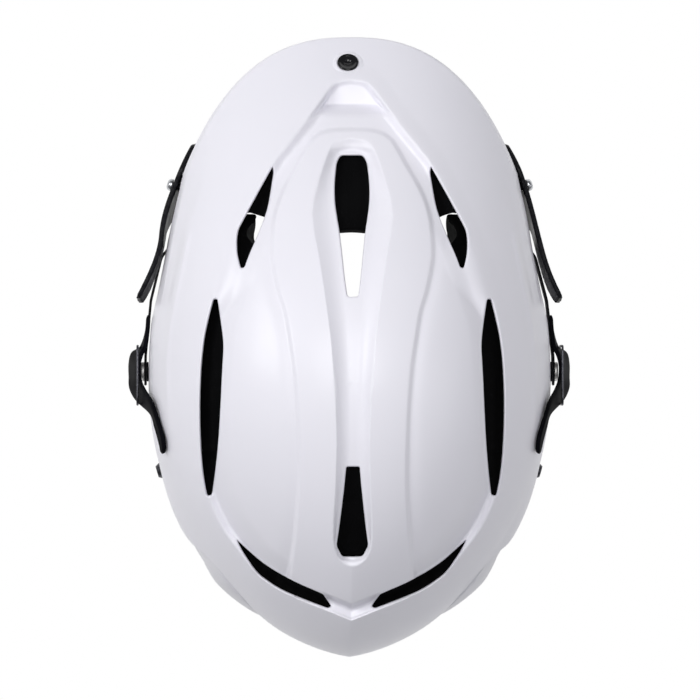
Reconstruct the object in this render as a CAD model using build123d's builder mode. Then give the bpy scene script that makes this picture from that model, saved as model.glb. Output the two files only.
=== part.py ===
from build123d import *
import os
from math import acos, atan2, cos, degrees, exp, hypot, pi, sin, sqrt

# Lacrosse helmet, standing on its chin guard and nape guard.
# Millimetres, +Z up, the visor points to -Y, and the wearer's left is +X.
# The origin is on the resting plane, under the middle of the shell.

# Common sizes
overrun = 5
clearance = 0.3
corner = 2

# Shell form
half_length = 166.6
half_width = 108.5
crown_height = 240
widest_y = 18
brow_height = 148
side_height = 110
tail_height = 105
form_base = 20
wall = 3.2
front_reach = half_length + widest_y
back_reach = half_length - widest_y
level_shares = (0, 0.159, 0.309, 0.445, 0.582, 0.691, 0.786, 0.864, 0.927, 0.968, 0.993)
turn_shares = (0, 0.035, 0.09, 0.17, 0.27, 0.38, 0.5, 0.6, 0.7, 0.79, 0.87, 0.94, 1)
side_power_share = 2.2
tail_point_share = 0.17
brow_soft_share = 0.25
side_tuck_share = 0.06
tail_tuck_share = 0.1
chin_lean_share = 0.25
guard_seat_depth = 2.4
guard_seat_top = 172
guard_seat_base = 130
guard_seat_share = 0.38
guard_seat_spread_share = 0.05

# Relief of the shell
valley_depth = 3
plateau_depth = 0.4
scoop_floor = brow_height + 15.5
scoop_back = 14
scoop_slope_share = 0.62
vent_corner = 2.2

# Outlines seen from above, as shares of the half width and half length
arch_shares = (
    (0, -0.867), (0.162, -0.794), (0.334, -0.65), (0.554, -0.372), (0.667, -0.177), (0.725, -0.027),
    (0.746, 0.228), (0.716, 0.458), (0.638, 0.58), (0.476, 0.714), (0.304, 0.787), (0, 0.857),
)
plateau_shares = (
    (0.097, -0.709), (0.2, -0.66), (0.284, -0.56), (0.333, -0.49), (0.372, -0.423), (0.392, -0.323),
    (0.377, -0.187), (0.35, -0.117), (0.299, 0.069), (0.27, 0.26), (0.265, 0.426), (0.284, 0.592),
    (0.299, 0.7), (0.2, 0.78), (0, 0.83),
)
channel_shares = (
    (0.058, -0.64), (0.107, -0.627), (0.175, -0.501), (0.194, -0.422), (0.184, -0.343), (0.15, -0.217),
    (0.122, -0.027), (0.112, 0.163), (0.116, 0.352), (0.131, 0.542), (0.122, 0.637), (0, 0.69),
)
front_vent_shares = ((0.045, -0.609), (0.08, -0.55), (0.08, -0.45), (0.068, -0.38), (0.037, -0.165))
rear_vent_shares = ((0.031, 0.372), (0.049, 0.492), (0.073, 0.605), (0.073, 0.635), (0.05, 0.656))
brow_vent_shares = (
    (0.385, -0.555), (0.42, -0.46), (0.459, -0.384), (0.523, -0.256), (0.548, -0.31), (0.555, -0.366),
)
side_vent_shares = (
    (0.667, -0.177), (0.638, -0.01), (0.645, 0.2), (0.662, 0.343), (0.7, 0.468), (0.718, 0.468),
    (0.74, 0.343), (0.745, 0.2), (0.725, -0.01),
)
rear_slot_shares = (
    (0.562, 0.615), (0.5, 0.655), (0.42, 0.7), (0.33, 0.743), (0.19, 0.79), (0.109, 0.812),
    (0.109, 0.83), (0.2, 0.815), (0.33, 0.772), (0.43, 0.73), (0.51, 0.687), (0.57, 0.635),
)

# Lower edge of the shell seen from the side, as shares of the half length and the crown height
edge_shares = (
    (-1.06, 0.617), (-0.66, 0.575), (-0.45, 0.542), (-0.36, 0.49), (-0.3, 0.34), (-0.24, 0.25),
    (-0.19, 0.215), (0.25, 0.215), (0.4, 0.28), (0.56, 0.44), (0.66, 0.585), (0.72, 0.6),
    (0.8, 0.57), (0.93, 0.46), (1.06, 0.4),
)
edge_corner = 8
ear_slot_height = 8
ear_slot_length = 30
ear_slot_pitch = 14
ear_slot_y = 24
ear_slot_z = 66
ear_slot_count = 2

# Nape guard: rows of height, and how far its half width and back reach lie inside those of the shell
nape_wall = 3
nape_power_share = 0.655
nape_rows = (
    (0, 24.5, 51.6), (40, 13.5, 36.6), (80, 6.5, 21.6), (105, 4.5, 16.6), (125, 5.5, 17.6), (150, 10.5, 23.6),
)
nape_edge_shares = (
    (0.3, 0.43), (0.34, 0.3), (0.42, 0.19), (0.55, 0.06), (0.6, 0), (1.1, 0), (1.1, 0.61), (0.3, 0.61),
)
nape_corner = 6
nape_grip_width = 46
nape_grip_height = 12
nape_grip_z = 34
nape_screw_y = 66
nape_screw_z = 94
nape_screw = 4
nape_screw_head = 9
nape_screw_dome = 2.4
nape_screw_slope = 30
nape_screw_length = 10

# Chin guard: rows of height, growth of the half width, front setback and flare of the rear corners
guard_wall = 2.8
guard_power_share = 0.55
guard_turn_shares = (0, 0.06, 0.13, 0.2, 0.27, 0.34, 0.39, 0.43, 0.5, 0.62, 0.75, 0.88, 1)
guard_rows = ((0, -18.5, 34.6, 0), (46, -9.5, 17.1, 0), (85, -1.5, 18.6, 4), (130, 2, 19.6, 9.5))
guard_flare_y = -55
guard_end_y = -24
guard_edge_shares = (
    (-1.06, 0), (-0.6, 0), (-0.52, 0.06), (-0.45, 0.3), (-0.37, 0.42), (-0.19, 0.41), (-0.145, 0.43),
    (-0.165, 0.5), (-0.4, 0.52), (-0.58, 0.54), (-0.66, 0.5), (-0.67, 0.33), (-0.74, 0.19), (-1.06, 0.19),
)
guard_corner = 4
guard_slot_width = 34
guard_slot_height = 6
guard_slot_pitch = 12
guard_slot_z = 14
guard_slot_count = 2

# Face mask: rows of height and setback behind the foremost bar
wire = 4.8
weld_gap = 0.2
mask_setback = 9
mask_radius = 98
mask_arc = 27
mask_side_y = -93.5
mask_rows = ((144, 20), (98, 2), (80, 0), (62, 3), (48.3, 9))
brow_bar_inset = 30.5
mask_names = ("brow_bar", "eye_bar", "middle_bar", "lower_bar", "chin_bar")
inner_upright_x = 33
inner_upright_foot = 34
upright_lean_share = 0.35
upright_stand_share = 1.09
upright_top_inset = 20.6
upright_top_z = 132
upright_foot_inset = 32.6
upright_foot_z = 34

# Fastenings of the mask
brow_screw_setback = 11.6
brow_screw_head = 11
brow_screw = 5
brow_screw_rise = 2.6
brow_screw_recess = 1.2
brow_screw_length = 12
brow_clip_width = 20
brow_clip_length = 26
brow_clip_base = 138.5
side_clip_y = -88
side_clip_z = 121
side_clip_front = 10
side_clip_back = 8
side_clip_low = 101.5
side_clip_depth = 15
side_screw = 4
side_screw_head = 6
side_screw_rise = 2.8
side_screw_slope = 20
side_seat_share = 0.88
side_lean_share = 0.28
side_screw_length = 15

# Strap hardware on the sides: arm outline seen from the side, and its bow as places beside the shell
stud_y = 12.5
stud_z = 106
stud_head = 10.3
stud_neck = 4.6
stud_base = 0.7
stud_cap = 1.6
stud_tail = 1.5
stud_boss = 7
arm_wall = 3
arm_profile = (
    (-17, 111.5), (3.5, 110.5), (6.5, 97), (9, 94), (28, 94), (36, 101), (46, 128), (57, 152), (60, 160),
    (56, 167), (50, 170), (40, 154), (30, 130), (22, 122), (-17, 119),
)
arm_corner = 2
bow_points = ((0.1, -17), (1.2, 0.5), (9, 6), (10.4, 12), (10.4, 20), (8.7, 24), (1.1, 31.5), (0.3, 36))
bow_corner = 3
band_front = 28
buckle_wire = 1.2
buckle_out = 6
buckle_front = -1.4
buckle_back = 30.2
buckle_high = 131.5
buckle_low = 90
buckle_corner = 3
lug_length = 6
lug_wall = 1.4

# Chin strap: its line seen from above, as places beside the shell, and the cup
strap_width = 15
strap_wall = 1.4
strap_out = 1.7
strap_points = ((0, 22), (0, 4), (-2.8, -26), (-8.6, -50), (-24, -68), (-88, -104))
strap_corner = 9
cup_y = -100
cup_z = 36
cup_half = 36
cup_round = 21
cup_open_share = 0.5
cup_facets = 8
cup_wall = 2.5
cup_pad_wall = 5
slider_wall = 1.6
slider_length = 12
slider_y = -77

# Liner, and the room for the head as rows of height, half width, front and back reach
pad_base = 118
brow_pad_base = 160
head_power_share = 1
head_rows = (
    (form_base - overrun, 74, 104, 92), (60, 79, 114, 101), (105, 80, 118, 106), (145, 76, 113, 104),
    (175, 66, 97, 93), (197, 49, 71, 69), (210, 31, 44, 43), (215, 16, 23, 22),
)
front_pad_shares = ((0, -0.8), (0.2, -0.78), (0.42, -0.68), (0.49, -0.52), (0.495, -0.345), (0, -0.37))
crown_pad_shares = ((0, -0.16), (0.34, -0.13), (0.34, 0.6), (0.25, 0.63), (0, 0.67))
side_pad_shares = (
    (0.52, -0.45), (0.52, -0.345), (0.385, -0.31), (0.385, 0.585), (0.62, 0.49), (0.7, 0.475), (0.8, 0.44),
    (1.05, 0.3), (1.05, -0.4),
)
rear_pad_shares = ((0, 0.7), (0.25, 0.66), (0.45, 0.6), (0.68, 0.49), (0.9, 0.6), (0.9, 0.9), (0, 1.05))
pad_gap = 0.5
jaw_pad_wall = 14
jaw_pad_low = 58
jaw_pad_high = 108
jaw_pad_front = -34
jaw_pad_back = 2

# Fit cradle
cradle_centre = 24
cradle_half = 50
cradle_height = 40
cradle_z = 66
cradle_round = 88
cradle_wall = 2.5
cradle_pad_half = 33
cradle_pad_wall = 8
post_x = 41
post = 6
sleeve_wall = 2
sleeve_length = 22
post_front = 105


def plan(shares):
    """Points seen from above, from shares of the half width and half length."""
    return [(x * half_width, y * half_length) for x, y in shares]


def profile(shares):
    """Points seen from the side, from shares of the half length and crown height."""
    return [(y * half_length, z * crown_height) for y, z in shares]


def mirrored(points):
    """The points and their mirror images across the middle, as one closed row."""
    return list(points) + [(-x, y) for x, y in reversed(points) if x > 0]


def reaches(z, inset):
    """Half width, front reach and back reach of the shell form at one height."""
    top = crown_height - inset
    side = max(0, (z - side_height) / (top - side_height))
    width = (half_width - inset) * (1 - side ** side_power_share) ** (1 / side_power_share)
    low = max(0, (side_height - z) / side_height)
    width = width * (1 - side_tuck_share * (low * 1.5) ** 2)
    rise = (z - brow_height) / (top - brow_height)
    if rise > 0:
        soft = brow_soft_share ** 1.5
        full = (1 + brow_soft_share ** 2) ** 0.75 - soft
        front = (front_reach - inset) * sqrt(((1 - rise) * full + soft) ** (4 / 3) - brow_soft_share ** 2)
    else:
        front = front_reach - inset + (brow_height - z) * chin_lean_share
    drop = (z - tail_height) / (top - tail_height)
    if drop > 0:
        back = (back_reach - inset) * sqrt(1 - drop ** 2)
    else:
        back = (back_reach - inset) * (1 - tail_tuck_share * (drop * 2) ** 2)
    return width, front, back


def form_point(turn, z, inset):
    """A point of the shell form at one height; turn runs from 0 in front to 1 behind."""
    width, front, back = reaches(z, inset)
    across = sin(pi * turn)
    if turn <= 0.5:
        power = 0.8 + 0.2 * max(0, (z - brow_height) / (crown_height - brow_height))
        fade = min(1, max(0, (guard_seat_top - z) / (guard_seat_top - guard_seat_base)))
        near = exp(-((turn - guard_seat_share) / guard_seat_spread_share) ** 2)
        return width * across ** power - guard_seat_depth * fade * near, widest_y - front * cos(pi * turn)
    pointed = across ** 2 / (tail_point_share + (1 - tail_point_share) * across)
    return width * pointed, widest_y - back * cos(pi * turn)


def wall_x(y, z, inset):
    """Half width of the shell form at one place and height."""
    width, front, back = reaches(z, inset)
    reach = front if y < widest_y else back
    turn = acos(max(-1, min(1, (widest_y - y) / reach))) / pi
    return form_point(turn, z, inset)[0]


def closed_loft(rows, turns=turn_shares):
    """A solid through closed smooth rows of points, each with its height; the seam is on one side."""
    seam = len(turns) // 2 - 1
    places = [turn / 2 for turn in turns]
    places += [1 - place for place in reversed(places[1:-1])]
    places = places[seam:] + [1 + place for place in places[:seam + 1]]
    places = [place - places[0] for place in places]
    with BuildPart() as body:
        for z, points in rows:
            with BuildSketch(Plane.XY.offset(z)):
                with BuildLine():
                    corners = [Vector(*point) for point in points[seam:] + points[:seam]]
                    add(Edge.make_spline(corners, periodic=True, parameters=places))
                make_face()
        loft()
    return body.part


def form(inset):
    """The whole rounded form of the shell, drawn in by the inset."""
    rows = []
    for share in level_shares:
        z = form_base + share * (crown_height - inset - form_base)
        half = [form_point(turn, z, inset) for turn in turn_shares[:-1]]
        half.append((0, form_point(1, z, inset)[1]))
        rows.append((z, mirrored(half)))
    return closed_loft(rows)


def oval(width, front, back, power, turns=turn_shares):
    """A closed row of points round the head, squarer when the power is small."""
    half = []
    for turn in turns[:-1]:
        reach = front if turn <= 0.5 else back
        half.append((width * sin(pi * turn) ** power, widest_y - reach * cos(pi * turn)))
    half.append((0, widest_y + back))
    return mirrored(half)


def crown_z(y):
    """Height of the shell form on its middle line, in front of the crown."""
    soft = brow_soft_share ** 1.5
    full = (1 + brow_soft_share ** 2) ** 0.75 - soft
    reach = (widest_y - y) / front_reach
    fall = ((reach ** 2 + brow_soft_share ** 2) ** 0.75 - soft) / full
    return brow_height + (crown_height - brow_height) * (1 - fall)


def brow_plane(y):
    """A plane on the middle line of the brim, facing out of it."""
    step = half_length / 200
    lean = atan2(crown_z(y + step) - crown_z(y - step), 2 * step)
    return Plane(origin=(0, y, crown_z(y)), x_dir=(1, 0, 0), z_dir=(0, -sin(lean), cos(lean)))


def side_plane(side, y, z):
    """A plane on the side of the shell form, facing out of it."""
    step = half_length / 200
    lean = atan2(wall_x(y + step, z, 0) - wall_x(y - step, z, 0), 2 * step)
    normal = (side * cos(lean), -sin(lean), 0)
    return Plane(origin=(side * wall_x(y, z, 0), y, z), x_dir=(0, 0, 1), z_dir=normal)


def guard_plane(side):
    """A plane on the arm of the chin guard where its screw goes through, facing outwards."""
    seat = (side * half_width * side_seat_share, side_clip_y, side_clip_z)
    return Plane(origin=seat, x_dir=(0, 0, 1), z_dir=(side, -side_lean_share, 0))


def column(points, low, high, rounding=0, smooth=False, slope=0):
    """A vertical prism over an outline seen from above."""
    with BuildPart() as body:
        with BuildSketch(Plane.XY.offset(low)) as outline:
            with BuildLine():
                if smooth:
                    Spline(*points)
                    if points[0][0] > 0:
                        Line((0, points[0][1]), points[0])
                    mirror(about=Plane.YZ)
                else:
                    Polyline(*points, close=True)
            make_face()
            if rounding:
                fillet(outline.vertices(), rounding)
        extrude(amount=high - low, taper=slope)
    return body.part


def slab(points, near, far, rounding=0):
    """A prism along X over an outline seen from the side."""
    with BuildPart() as body:
        with BuildSketch(Plane.YZ.offset(near)) as outline:
            with BuildLine():
                Polyline(*points, close=True)
            make_face()
            if rounding:
                fillet(outline.vertices(), rounding)
        extrude(amount=far - near)
    return body.part


def rod(start, end, diameter):
    """A round bar between two points."""
    along = Vector(*end) - Vector(*start)
    with BuildPart() as body:
        with BuildSketch(Plane(origin=start, z_dir=along)):
            Circle(diameter / 2)
        extrude(amount=along.length)
    return body.part


def save(builder, name):
    """Label a finished piece and write it."""
    builder.part.label = name
    export_step(builder.part, f"parts/{name}.step")


def save_pair(builder, name):
    """Write a left piece, and its mirror image as the right one."""
    save(builder, f"left_{name}")
    with BuildPart() as right:
        mirror(builder.part, about=Plane.YZ)
    save(right, f"right_{name}")


os.makedirs("parts", exist_ok=True)
side_names = {1: "left", -1: "right"}
top = crown_height + overrun
wide = half_width + 5 * overrun

# Forms that several pieces share
outer_form = form(0)
inner_form = form(wall)
fit_form = form(wall + clearance)
edge_top = [(1.06 * half_length, top), (-1.06 * half_length, top)]
above_edge = slab(profile(edge_shares) + edge_top, -wide, wide, edge_corner)
near_edge = [(y, z - clearance) for y, z in profile(edge_shares)]
shell_zone = slab(near_edge + edge_top, -wide, wide, edge_corner)
near_form = form(-clearance)
arch = column(plan(arch_shares), form_base - overrun, top, smooth=True)
arch_wide_share = 1 + wall / half_width
arch_wide_points = [(x * arch_wide_share, y * arch_wide_share) for x, y in plan(arch_shares)]
arch_wide = column(arch_wide_points, form_base - overrun, top, smooth=True)

# Crown plateau, a raised layer with the channel let into it
with BuildPart() as plateau:
    add(form(plateau_depth))
    add(column(plan(plateau_shares), brow_height, top, smooth=True), mode=Mode.INTERSECT)
    add(column(plan(channel_shares), brow_height, top, smooth=True), mode=Mode.SUBTRACT)
    add(form(valley_depth + wall / 2), mode=Mode.SUBTRACT)

# Scoop between the brim and the crown, and the wall behind it
scoop_wall_y = arch_shares[0][1] * half_length + scoop_back
scoop_run = (top - scoop_floor) * scoop_slope_share
scoop_points = [
    (-half_length, scoop_floor), (scoop_wall_y, scoop_floor),
    (scoop_wall_y + scoop_run, top), (-half_length, top),
]
scoop = slab(scoop_points, -half_width, half_width) & arch
scoop_wall_points = [
    (-half_length, scoop_floor - wall), (scoop_wall_y + wall, scoop_floor - wall),
    (scoop_wall_y + 2 * wall + scoop_run, top), (-half_length, top),
]
scoop_wall = slab(scoop_wall_points, -half_width, half_width) & arch_wide & form(valley_depth)

# Vents
vents = [
    column(mirrored(plan(front_vent_shares)), brow_height, top, vent_corner),
    column(mirrored(plan(rear_vent_shares)), brow_height, top, vent_corner),
]
for shares in (brow_vent_shares, side_vent_shares, rear_slot_shares):
    for side in side_names:
        vents.append(column([(side * x, y) for x, y in plan(shares)], brow_height - overrun, top))

# Shell
with BuildPart() as hollow:
    add(inner_form)
    add(arch_wide, mode=Mode.SUBTRACT)
    add(form(valley_depth + wall))
brow_screw_plane = brow_plane(brow_screw_setback - half_length)
with BuildPart() as shell:
    add(outer_form)
    add(arch, mode=Mode.SUBTRACT)
    add(form(valley_depth))
    add(above_edge, mode=Mode.INTERSECT)
    add(hollow.part, mode=Mode.SUBTRACT)
    add(plateau.part)
    add(scoop_wall)
    add(scoop, mode=Mode.SUBTRACT)
    add(vents, mode=Mode.SUBTRACT)
    with BuildSketch(Plane.YZ.offset(-wide)):
        for row in range(ear_slot_count):
            with Locations((ear_slot_y, ear_slot_z + row * ear_slot_pitch)):
                SlotOverall(ear_slot_length, ear_slot_height)
    extrude(amount=2 * wide, mode=Mode.SUBTRACT)
    with BuildSketch(brow_screw_plane.offset(-brow_screw_recess)):
        Circle(brow_screw_head / 2 + clearance)
    extrude(amount=brow_screw_recess + overrun, mode=Mode.SUBTRACT)
    with BuildSketch(brow_screw_plane.offset(-brow_screw_length)):
        Circle(brow_screw / 2 + clearance)
    extrude(amount=brow_screw_length + overrun, mode=Mode.SUBTRACT)
    with BuildSketch(Plane.YZ.offset(-wide)):
        with Locations((stud_y, stud_z)):
            Circle(stud_neck / 2 + clearance)
    extrude(amount=2 * wide, mode=Mode.SUBTRACT)
    for side in side_names:
        with BuildSketch(side_plane(side, nape_screw_y, nape_screw_z).offset(-nape_screw_length)):
            Circle(nape_screw / 2 + clearance)
        extrude(amount=nape_screw_length + overrun, mode=Mode.SUBTRACT)
save(shell, "shell")

# Nape guard, rebated where the shell laps over it, with the two posts of the fit cradle
nape_outer = []
nape_inner = []
for z, side_inset, back_inset in nape_rows:
    width = half_width - side_inset
    back = back_reach - back_inset
    nape_outer.append((z, oval(width, width, back, nape_power_share)))
    nape_inner.append((z, oval(width - nape_wall, width - nape_wall, back - nape_wall, nape_power_share)))
nape_form = closed_loft(nape_outer)
with BuildPart() as posts:
    for side in side_names:
        with BuildSketch(Plane.XZ.offset(-post_front)):
            with Locations((side * post_x, cradle_z)):
                Circle(post / 2)
        extrude(amount=-half_length)
    add(nape_form, mode=Mode.INTERSECT)
shell_seat = shell_zone - fit_form
with BuildPart() as nape_guard:
    add(nape_form)
    add(closed_loft(nape_inner), mode=Mode.SUBTRACT)
    add(slab(profile(nape_edge_shares), -wide, wide, nape_corner), mode=Mode.INTERSECT)
    add(shell_seat, mode=Mode.SUBTRACT)
    with BuildSketch(Plane.XZ.offset(-widest_y)):
        with Locations((0, nape_grip_z)):
            SlotOverall(nape_grip_width, nape_grip_height)
    extrude(amount=-half_length, mode=Mode.SUBTRACT)
    for side in side_names:
        with BuildSketch(side_plane(side, nape_screw_y, nape_screw_z).offset(-nape_screw_length)):
            Circle(nape_screw / 2 + clearance)
        extrude(amount=nape_screw_length + overrun, mode=Mode.SUBTRACT)
    add(posts.part)
save(nape_guard, "nape_guard")

# Screws that join the shell and the nape guard
with BuildPart() as nape_screws:
    for side in side_names:
        seat = side_plane(side, nape_screw_y, nape_screw_z).offset(clearance)
        with BuildSketch(seat):
            Circle(nape_screw_head / 2)
        extrude(amount=nape_screw_dome, taper=nape_screw_slope)
        with BuildSketch(seat):
            Circle(nape_screw / 2)
        extrude(amount=-nape_screw_length)
save(nape_screws, "nape_screws")


def guard_row(width, reach, flare):
    """One level of the chin guard, its rear corners flared outwards."""
    points = []
    for x, y in oval(width, reach, width, guard_power_share, guard_turn_shares):
        out = max(0, (y - guard_flare_y) / (guard_end_y - guard_flare_y))
        out = min(out, 1.6) ** 1.5 * flare if x else 0
        points.append((x + out * (1 if x > 0 else -1), y))
    return points


def guard_form(inset):
    """The closed form that the chin guard is cut from."""
    rows = []
    for z, growth, setback, flare in guard_rows:
        rows.append((z, guard_row(half_width + growth - inset, front_reach - setback - inset, flare)))
    return closed_loft(rows, guard_turn_shares)


# Chin guard
guard_room = guard_form(guard_wall + clearance)
with BuildPart() as chin_guard:
    add(guard_form(0))
    add(guard_form(guard_wall), mode=Mode.SUBTRACT)
    add(slab(profile(guard_edge_shares), -wide, wide, guard_corner), mode=Mode.INTERSECT)
    with BuildSketch(Plane.XZ.offset(-widest_y)):
        for row in range(guard_slot_count):
            with Locations((0, guard_slot_z + row * guard_slot_pitch)):
                SlotOverall(guard_slot_width - row * guard_slot_height, guard_slot_height)
    extrude(amount=half_length + 2 * widest_y, mode=Mode.SUBTRACT)
    for side in side_names:
        with BuildSketch(guard_plane(side).offset(-side_screw_length)):
            Circle(side_screw / 2 + clearance)
        extrude(amount=side_screw_length + overrun, mode=Mode.SUBTRACT)
save(chin_guard, "chin_guard")

# Face mask bars: a front arc that turns into an arc along each side
mask_front_y = mask_setback - half_length
upright_slope = (upright_foot_inset - upright_top_inset) / (upright_top_z - upright_foot_z)
for name, (z, setback) in zip(mask_names, mask_rows):
    side_inset = upright_top_inset + (upright_top_z - z) * upright_slope + wire + weld_gap
    if name == "brow_bar":
        side_inset = brow_bar_inset
    end_x = half_width - side_inset
    end_y = mask_side_y + wire
    with BuildPart() as bar:
        with BuildLine(Plane.XY.offset(z)) as line:
            centre = (0, mask_front_y + setback + mask_radius)
            front = CenterArc(centre, mask_radius, 270 - mask_arc, 2 * mask_arc)
            left = TangentArc(front @ 1, (end_x, end_y), tangent=front % 1)
            TangentArc(front @ 0, (-end_x, end_y), tangent=-(front % 0))
        with BuildSketch(Plane(origin=left @ 1, z_dir=left % 1)):
            Circle(wire / 2)
        sweep()
    save(bar, name)

# Inner uprights, welded behind the bars
bar_places = []
inner_radius = mask_radius - wire * upright_stand_share - weld_gap
for z, setback in mask_rows:
    bar_places.append((mask_front_y + setback + mask_radius - sqrt(inner_radius ** 2 - inner_upright_x ** 2), z))
upright_points = [(bar_places[0][0], bar_places[0][1] + wire)]
upright_points += [bar_places[0], bar_places[1], bar_places[2], bar_places[3], bar_places[4]]
foot_rise = bar_places[4][1] - inner_upright_foot
upright_points.append((bar_places[4][0] + foot_rise * upright_lean_share, inner_upright_foot))
with BuildPart() as inner_upright:
    with BuildLine(Plane.YZ.offset(inner_upright_x)) as line:
        FilletPolyline(*upright_points, radius=2 * wire)
    with BuildSketch(Plane(origin=line.line @ 0, z_dir=line.line % 0)):
        Circle(wire / 2)
    sweep()
save_pair(inner_upright, "inner_upright")

# Outer uprights, inside the arms of the chin guard
upright_top = (half_width - upright_top_inset, mask_side_y, upright_top_z)
upright_foot = (half_width - upright_foot_inset, mask_side_y, upright_foot_z)
with BuildPart() as outer_upright:
    add(rod(upright_foot, upright_top, wire))
save_pair(outer_upright, "outer_upright")

# Clips that hold the uprights to the chin guard and the shell
brow_z = mask_rows[0][0]
with BuildPart() as mask_clip:
    with BuildSketch(Plane.XY.offset(side_clip_low)):
        with BuildLine():
            Polyline(
                (half_width - upright_top_inset - side_clip_depth / 2, side_clip_y - side_clip_front),
                (half_width, side_clip_y - side_clip_front),
                (half_width, side_clip_y + side_clip_back),
                (half_width - upright_top_inset - side_clip_depth / 2, side_clip_y + side_clip_back),
                close=True,
            )
        make_face()
    extrude(amount=brow_z + wire - side_clip_low)
    add(guard_room, mode=Mode.INTERSECT)
    add(fit_form, mode=Mode.INTERSECT)
    add(rod(upright_foot, upright_top, wire + 2 * clearance), mode=Mode.SUBTRACT)
    with BuildSketch(guard_plane(1).offset(-2 * side_screw_length)):
        Circle(side_screw / 2 + clearance)
    extrude(amount=3 * side_screw_length, mode=Mode.SUBTRACT)
save_pair(mask_clip, "mask_clip")

# Screws through the arms of the chin guard into the clips
with BuildPart() as mask_screws:
    for side in side_names:
        seat = guard_plane(side).offset(clearance)
        with BuildSketch(seat):
            Circle(side_screw_head / 2)
        extrude(amount=side_screw_rise, taper=side_screw_slope)
        with BuildSketch(seat):
            Circle(side_screw / 2)
        extrude(amount=-side_screw_length)
save(mask_screws, "mask_screws")

# Clip that hangs the brow bar under the brim, and its screw
bar_y = mask_front_y + mask_rows[0][1]
brow_clip_top = scoop_floor - wall - clearance
brow_clip_side = [
    (bar_y - brow_clip_length / 2, brow_clip_base), (bar_y + brow_clip_length / 4, brow_clip_base),
    (bar_y + brow_clip_length / 4, brow_clip_top), (bar_y - brow_clip_length, brow_clip_top),
]
with BuildPart() as brow_clip:
    add(slab(brow_clip_side, -brow_clip_width / 2, brow_clip_width / 2))
    add(fit_form, mode=Mode.INTERSECT)
    add(form(valley_depth + wall + clearance), mode=Mode.INTERSECT)
    with BuildSketch(Plane.YZ.offset(-wide)):
        with Locations((bar_y + clearance, brow_z)):
            Circle(wire / 2 + 2 * clearance)
    extrude(amount=2 * wide, mode=Mode.SUBTRACT)
    with BuildSketch(brow_screw_plane.offset(-2 * brow_screw_length)):
        Circle(brow_screw / 2 + clearance)
    extrude(amount=3 * brow_screw_length, mode=Mode.SUBTRACT)
save(brow_clip, "brow_clip")

with BuildPart() as brow_screw_body:
    with BuildSketch(brow_screw_plane.offset(clearance - brow_screw_recess)):
        Circle(brow_screw_head / 2)
    extrude(amount=brow_screw_rise, taper=side_screw_slope)
    with BuildSketch(brow_screw_plane.offset(clearance - brow_screw_recess + brow_screw_rise)):
        RegularPolygon(brow_screw / 2, 6)
    extrude(amount=-brow_screw_rise * 0.6, mode=Mode.SUBTRACT)
    with BuildSketch(brow_screw_plane.offset(clearance - brow_screw_recess)):
        Circle(brow_screw / 2)
    extrude(amount=-brow_screw_length)
save(brow_screw_body, "brow_screw")

# Snap studs on the sides of the shell
side_x = wall_x(stud_y, stud_z, 0)
strap_x = side_x + strap_out
with BuildPart() as stud:
    seat = Plane(origin=(side_x + clearance / 2, stud_y, stud_z), x_dir=(0, 1, 0), z_dir=(1, 0, 0))
    with BuildSketch(seat):
        Circle(stud_head / 2)
    extrude(amount=stud_base)
    with BuildSketch(seat.offset(-wall - stud_tail)):
        Circle(stud_neck / 2)
    extrude(amount=wall + stud_tail + strap_out + strap_wall + clearance)
    with BuildSketch(seat.offset(strap_out + strap_wall / 2 + clearance)):
        Circle(stud_head / 2)
    extrude(amount=stud_cap)
save_pair(stud, "snap_stud")

# Strap arms: a bow round the stud, and a band that lies back and up along the shell
bow_x = side_x + max(x for x, y in bow_points)
boss_start = strap_x + strap_wall / 2 + 2 * clearance + stud_cap
lug_reach = buckle_wire / 2 + clearance + lug_wall
arm_base = min(z for y, z in arm_profile)
with BuildPart() as band:
    add(form(-arm_wall - clearance))
    add(slab([(band_front, 0), (half_length, 0), (half_length, top), (band_front, top)], 0, wide),
        mode=Mode.INTERSECT)
with BuildPart() as arm:
    with BuildSketch(Plane.XY):
        with BuildLine():
            FilletPolyline(*[(side_x + x, y) for x, y in bow_points], radius=bow_corner)
        trace(line_width=arm_wall)
    extrude(amount=crown_height)
    add(band.part)
    add(slab(arm_profile, 0, wide, arm_corner), mode=Mode.INTERSECT)
    add(near_form, mode=Mode.SUBTRACT)
    with BuildSketch(Plane.YZ.offset(boss_start)):
        with Locations((stud_y, stud_z)):
            Circle(stud_boss / 2)
    extrude(amount=bow_x - boss_start)
    with BuildSketch(Plane.XZ.offset(-stud_y)):
        with Locations((side_x + buckle_out - lug_reach, buckle_low - lug_reach)):
            Rectangle(
                bow_x + arm_wall / 2 - side_x - buckle_out + lug_reach,
                arm_base + lug_wall - buckle_low + lug_reach,
                align=(Align.MIN, Align.MIN),
            )
        with Locations((side_x + buckle_out, buckle_low)):
            Circle(buckle_wire / 2 + clearance, mode=Mode.SUBTRACT)
    extrude(amount=-lug_length)
save_pair(arm, "strap_arm")

# Wire loops that lie round the bows
with BuildPart() as buckle:
    corners = [
        (buckle_front, buckle_low), (buckle_back, buckle_low),
        (buckle_back, buckle_high), (buckle_front, buckle_high),
    ]
    with BuildLine(Plane.YZ.offset(side_x + buckle_out)) as line:
        FilletPolyline(*corners, close=True, radius=buckle_corner)
    with BuildSketch(Plane(origin=line.line @ 0, z_dir=line.line % 0)):
        RegularPolygon(buckle_wire / 2, 8)
    sweep()
save_pair(buckle, "buckle_wire")


def cup_form(inset):
    """The egg-shaped form of the chin cup, turned about a line across the helmet."""
    points = []
    for step in range(cup_facets + 1):
        turn = pi * step / cup_facets
        points.append(((cup_half - inset) * cos(turn), (inset - cup_round) * sin(turn)))
    with BuildPart() as body:
        with BuildSketch(Plane(origin=(0, cup_y, cup_z))):
            with BuildLine():
                Polyline(*points, close=True)
            make_face()
        revolve(axis=Axis((0, cup_y, cup_z), (1, 0, 0)))
    return body.part


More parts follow.
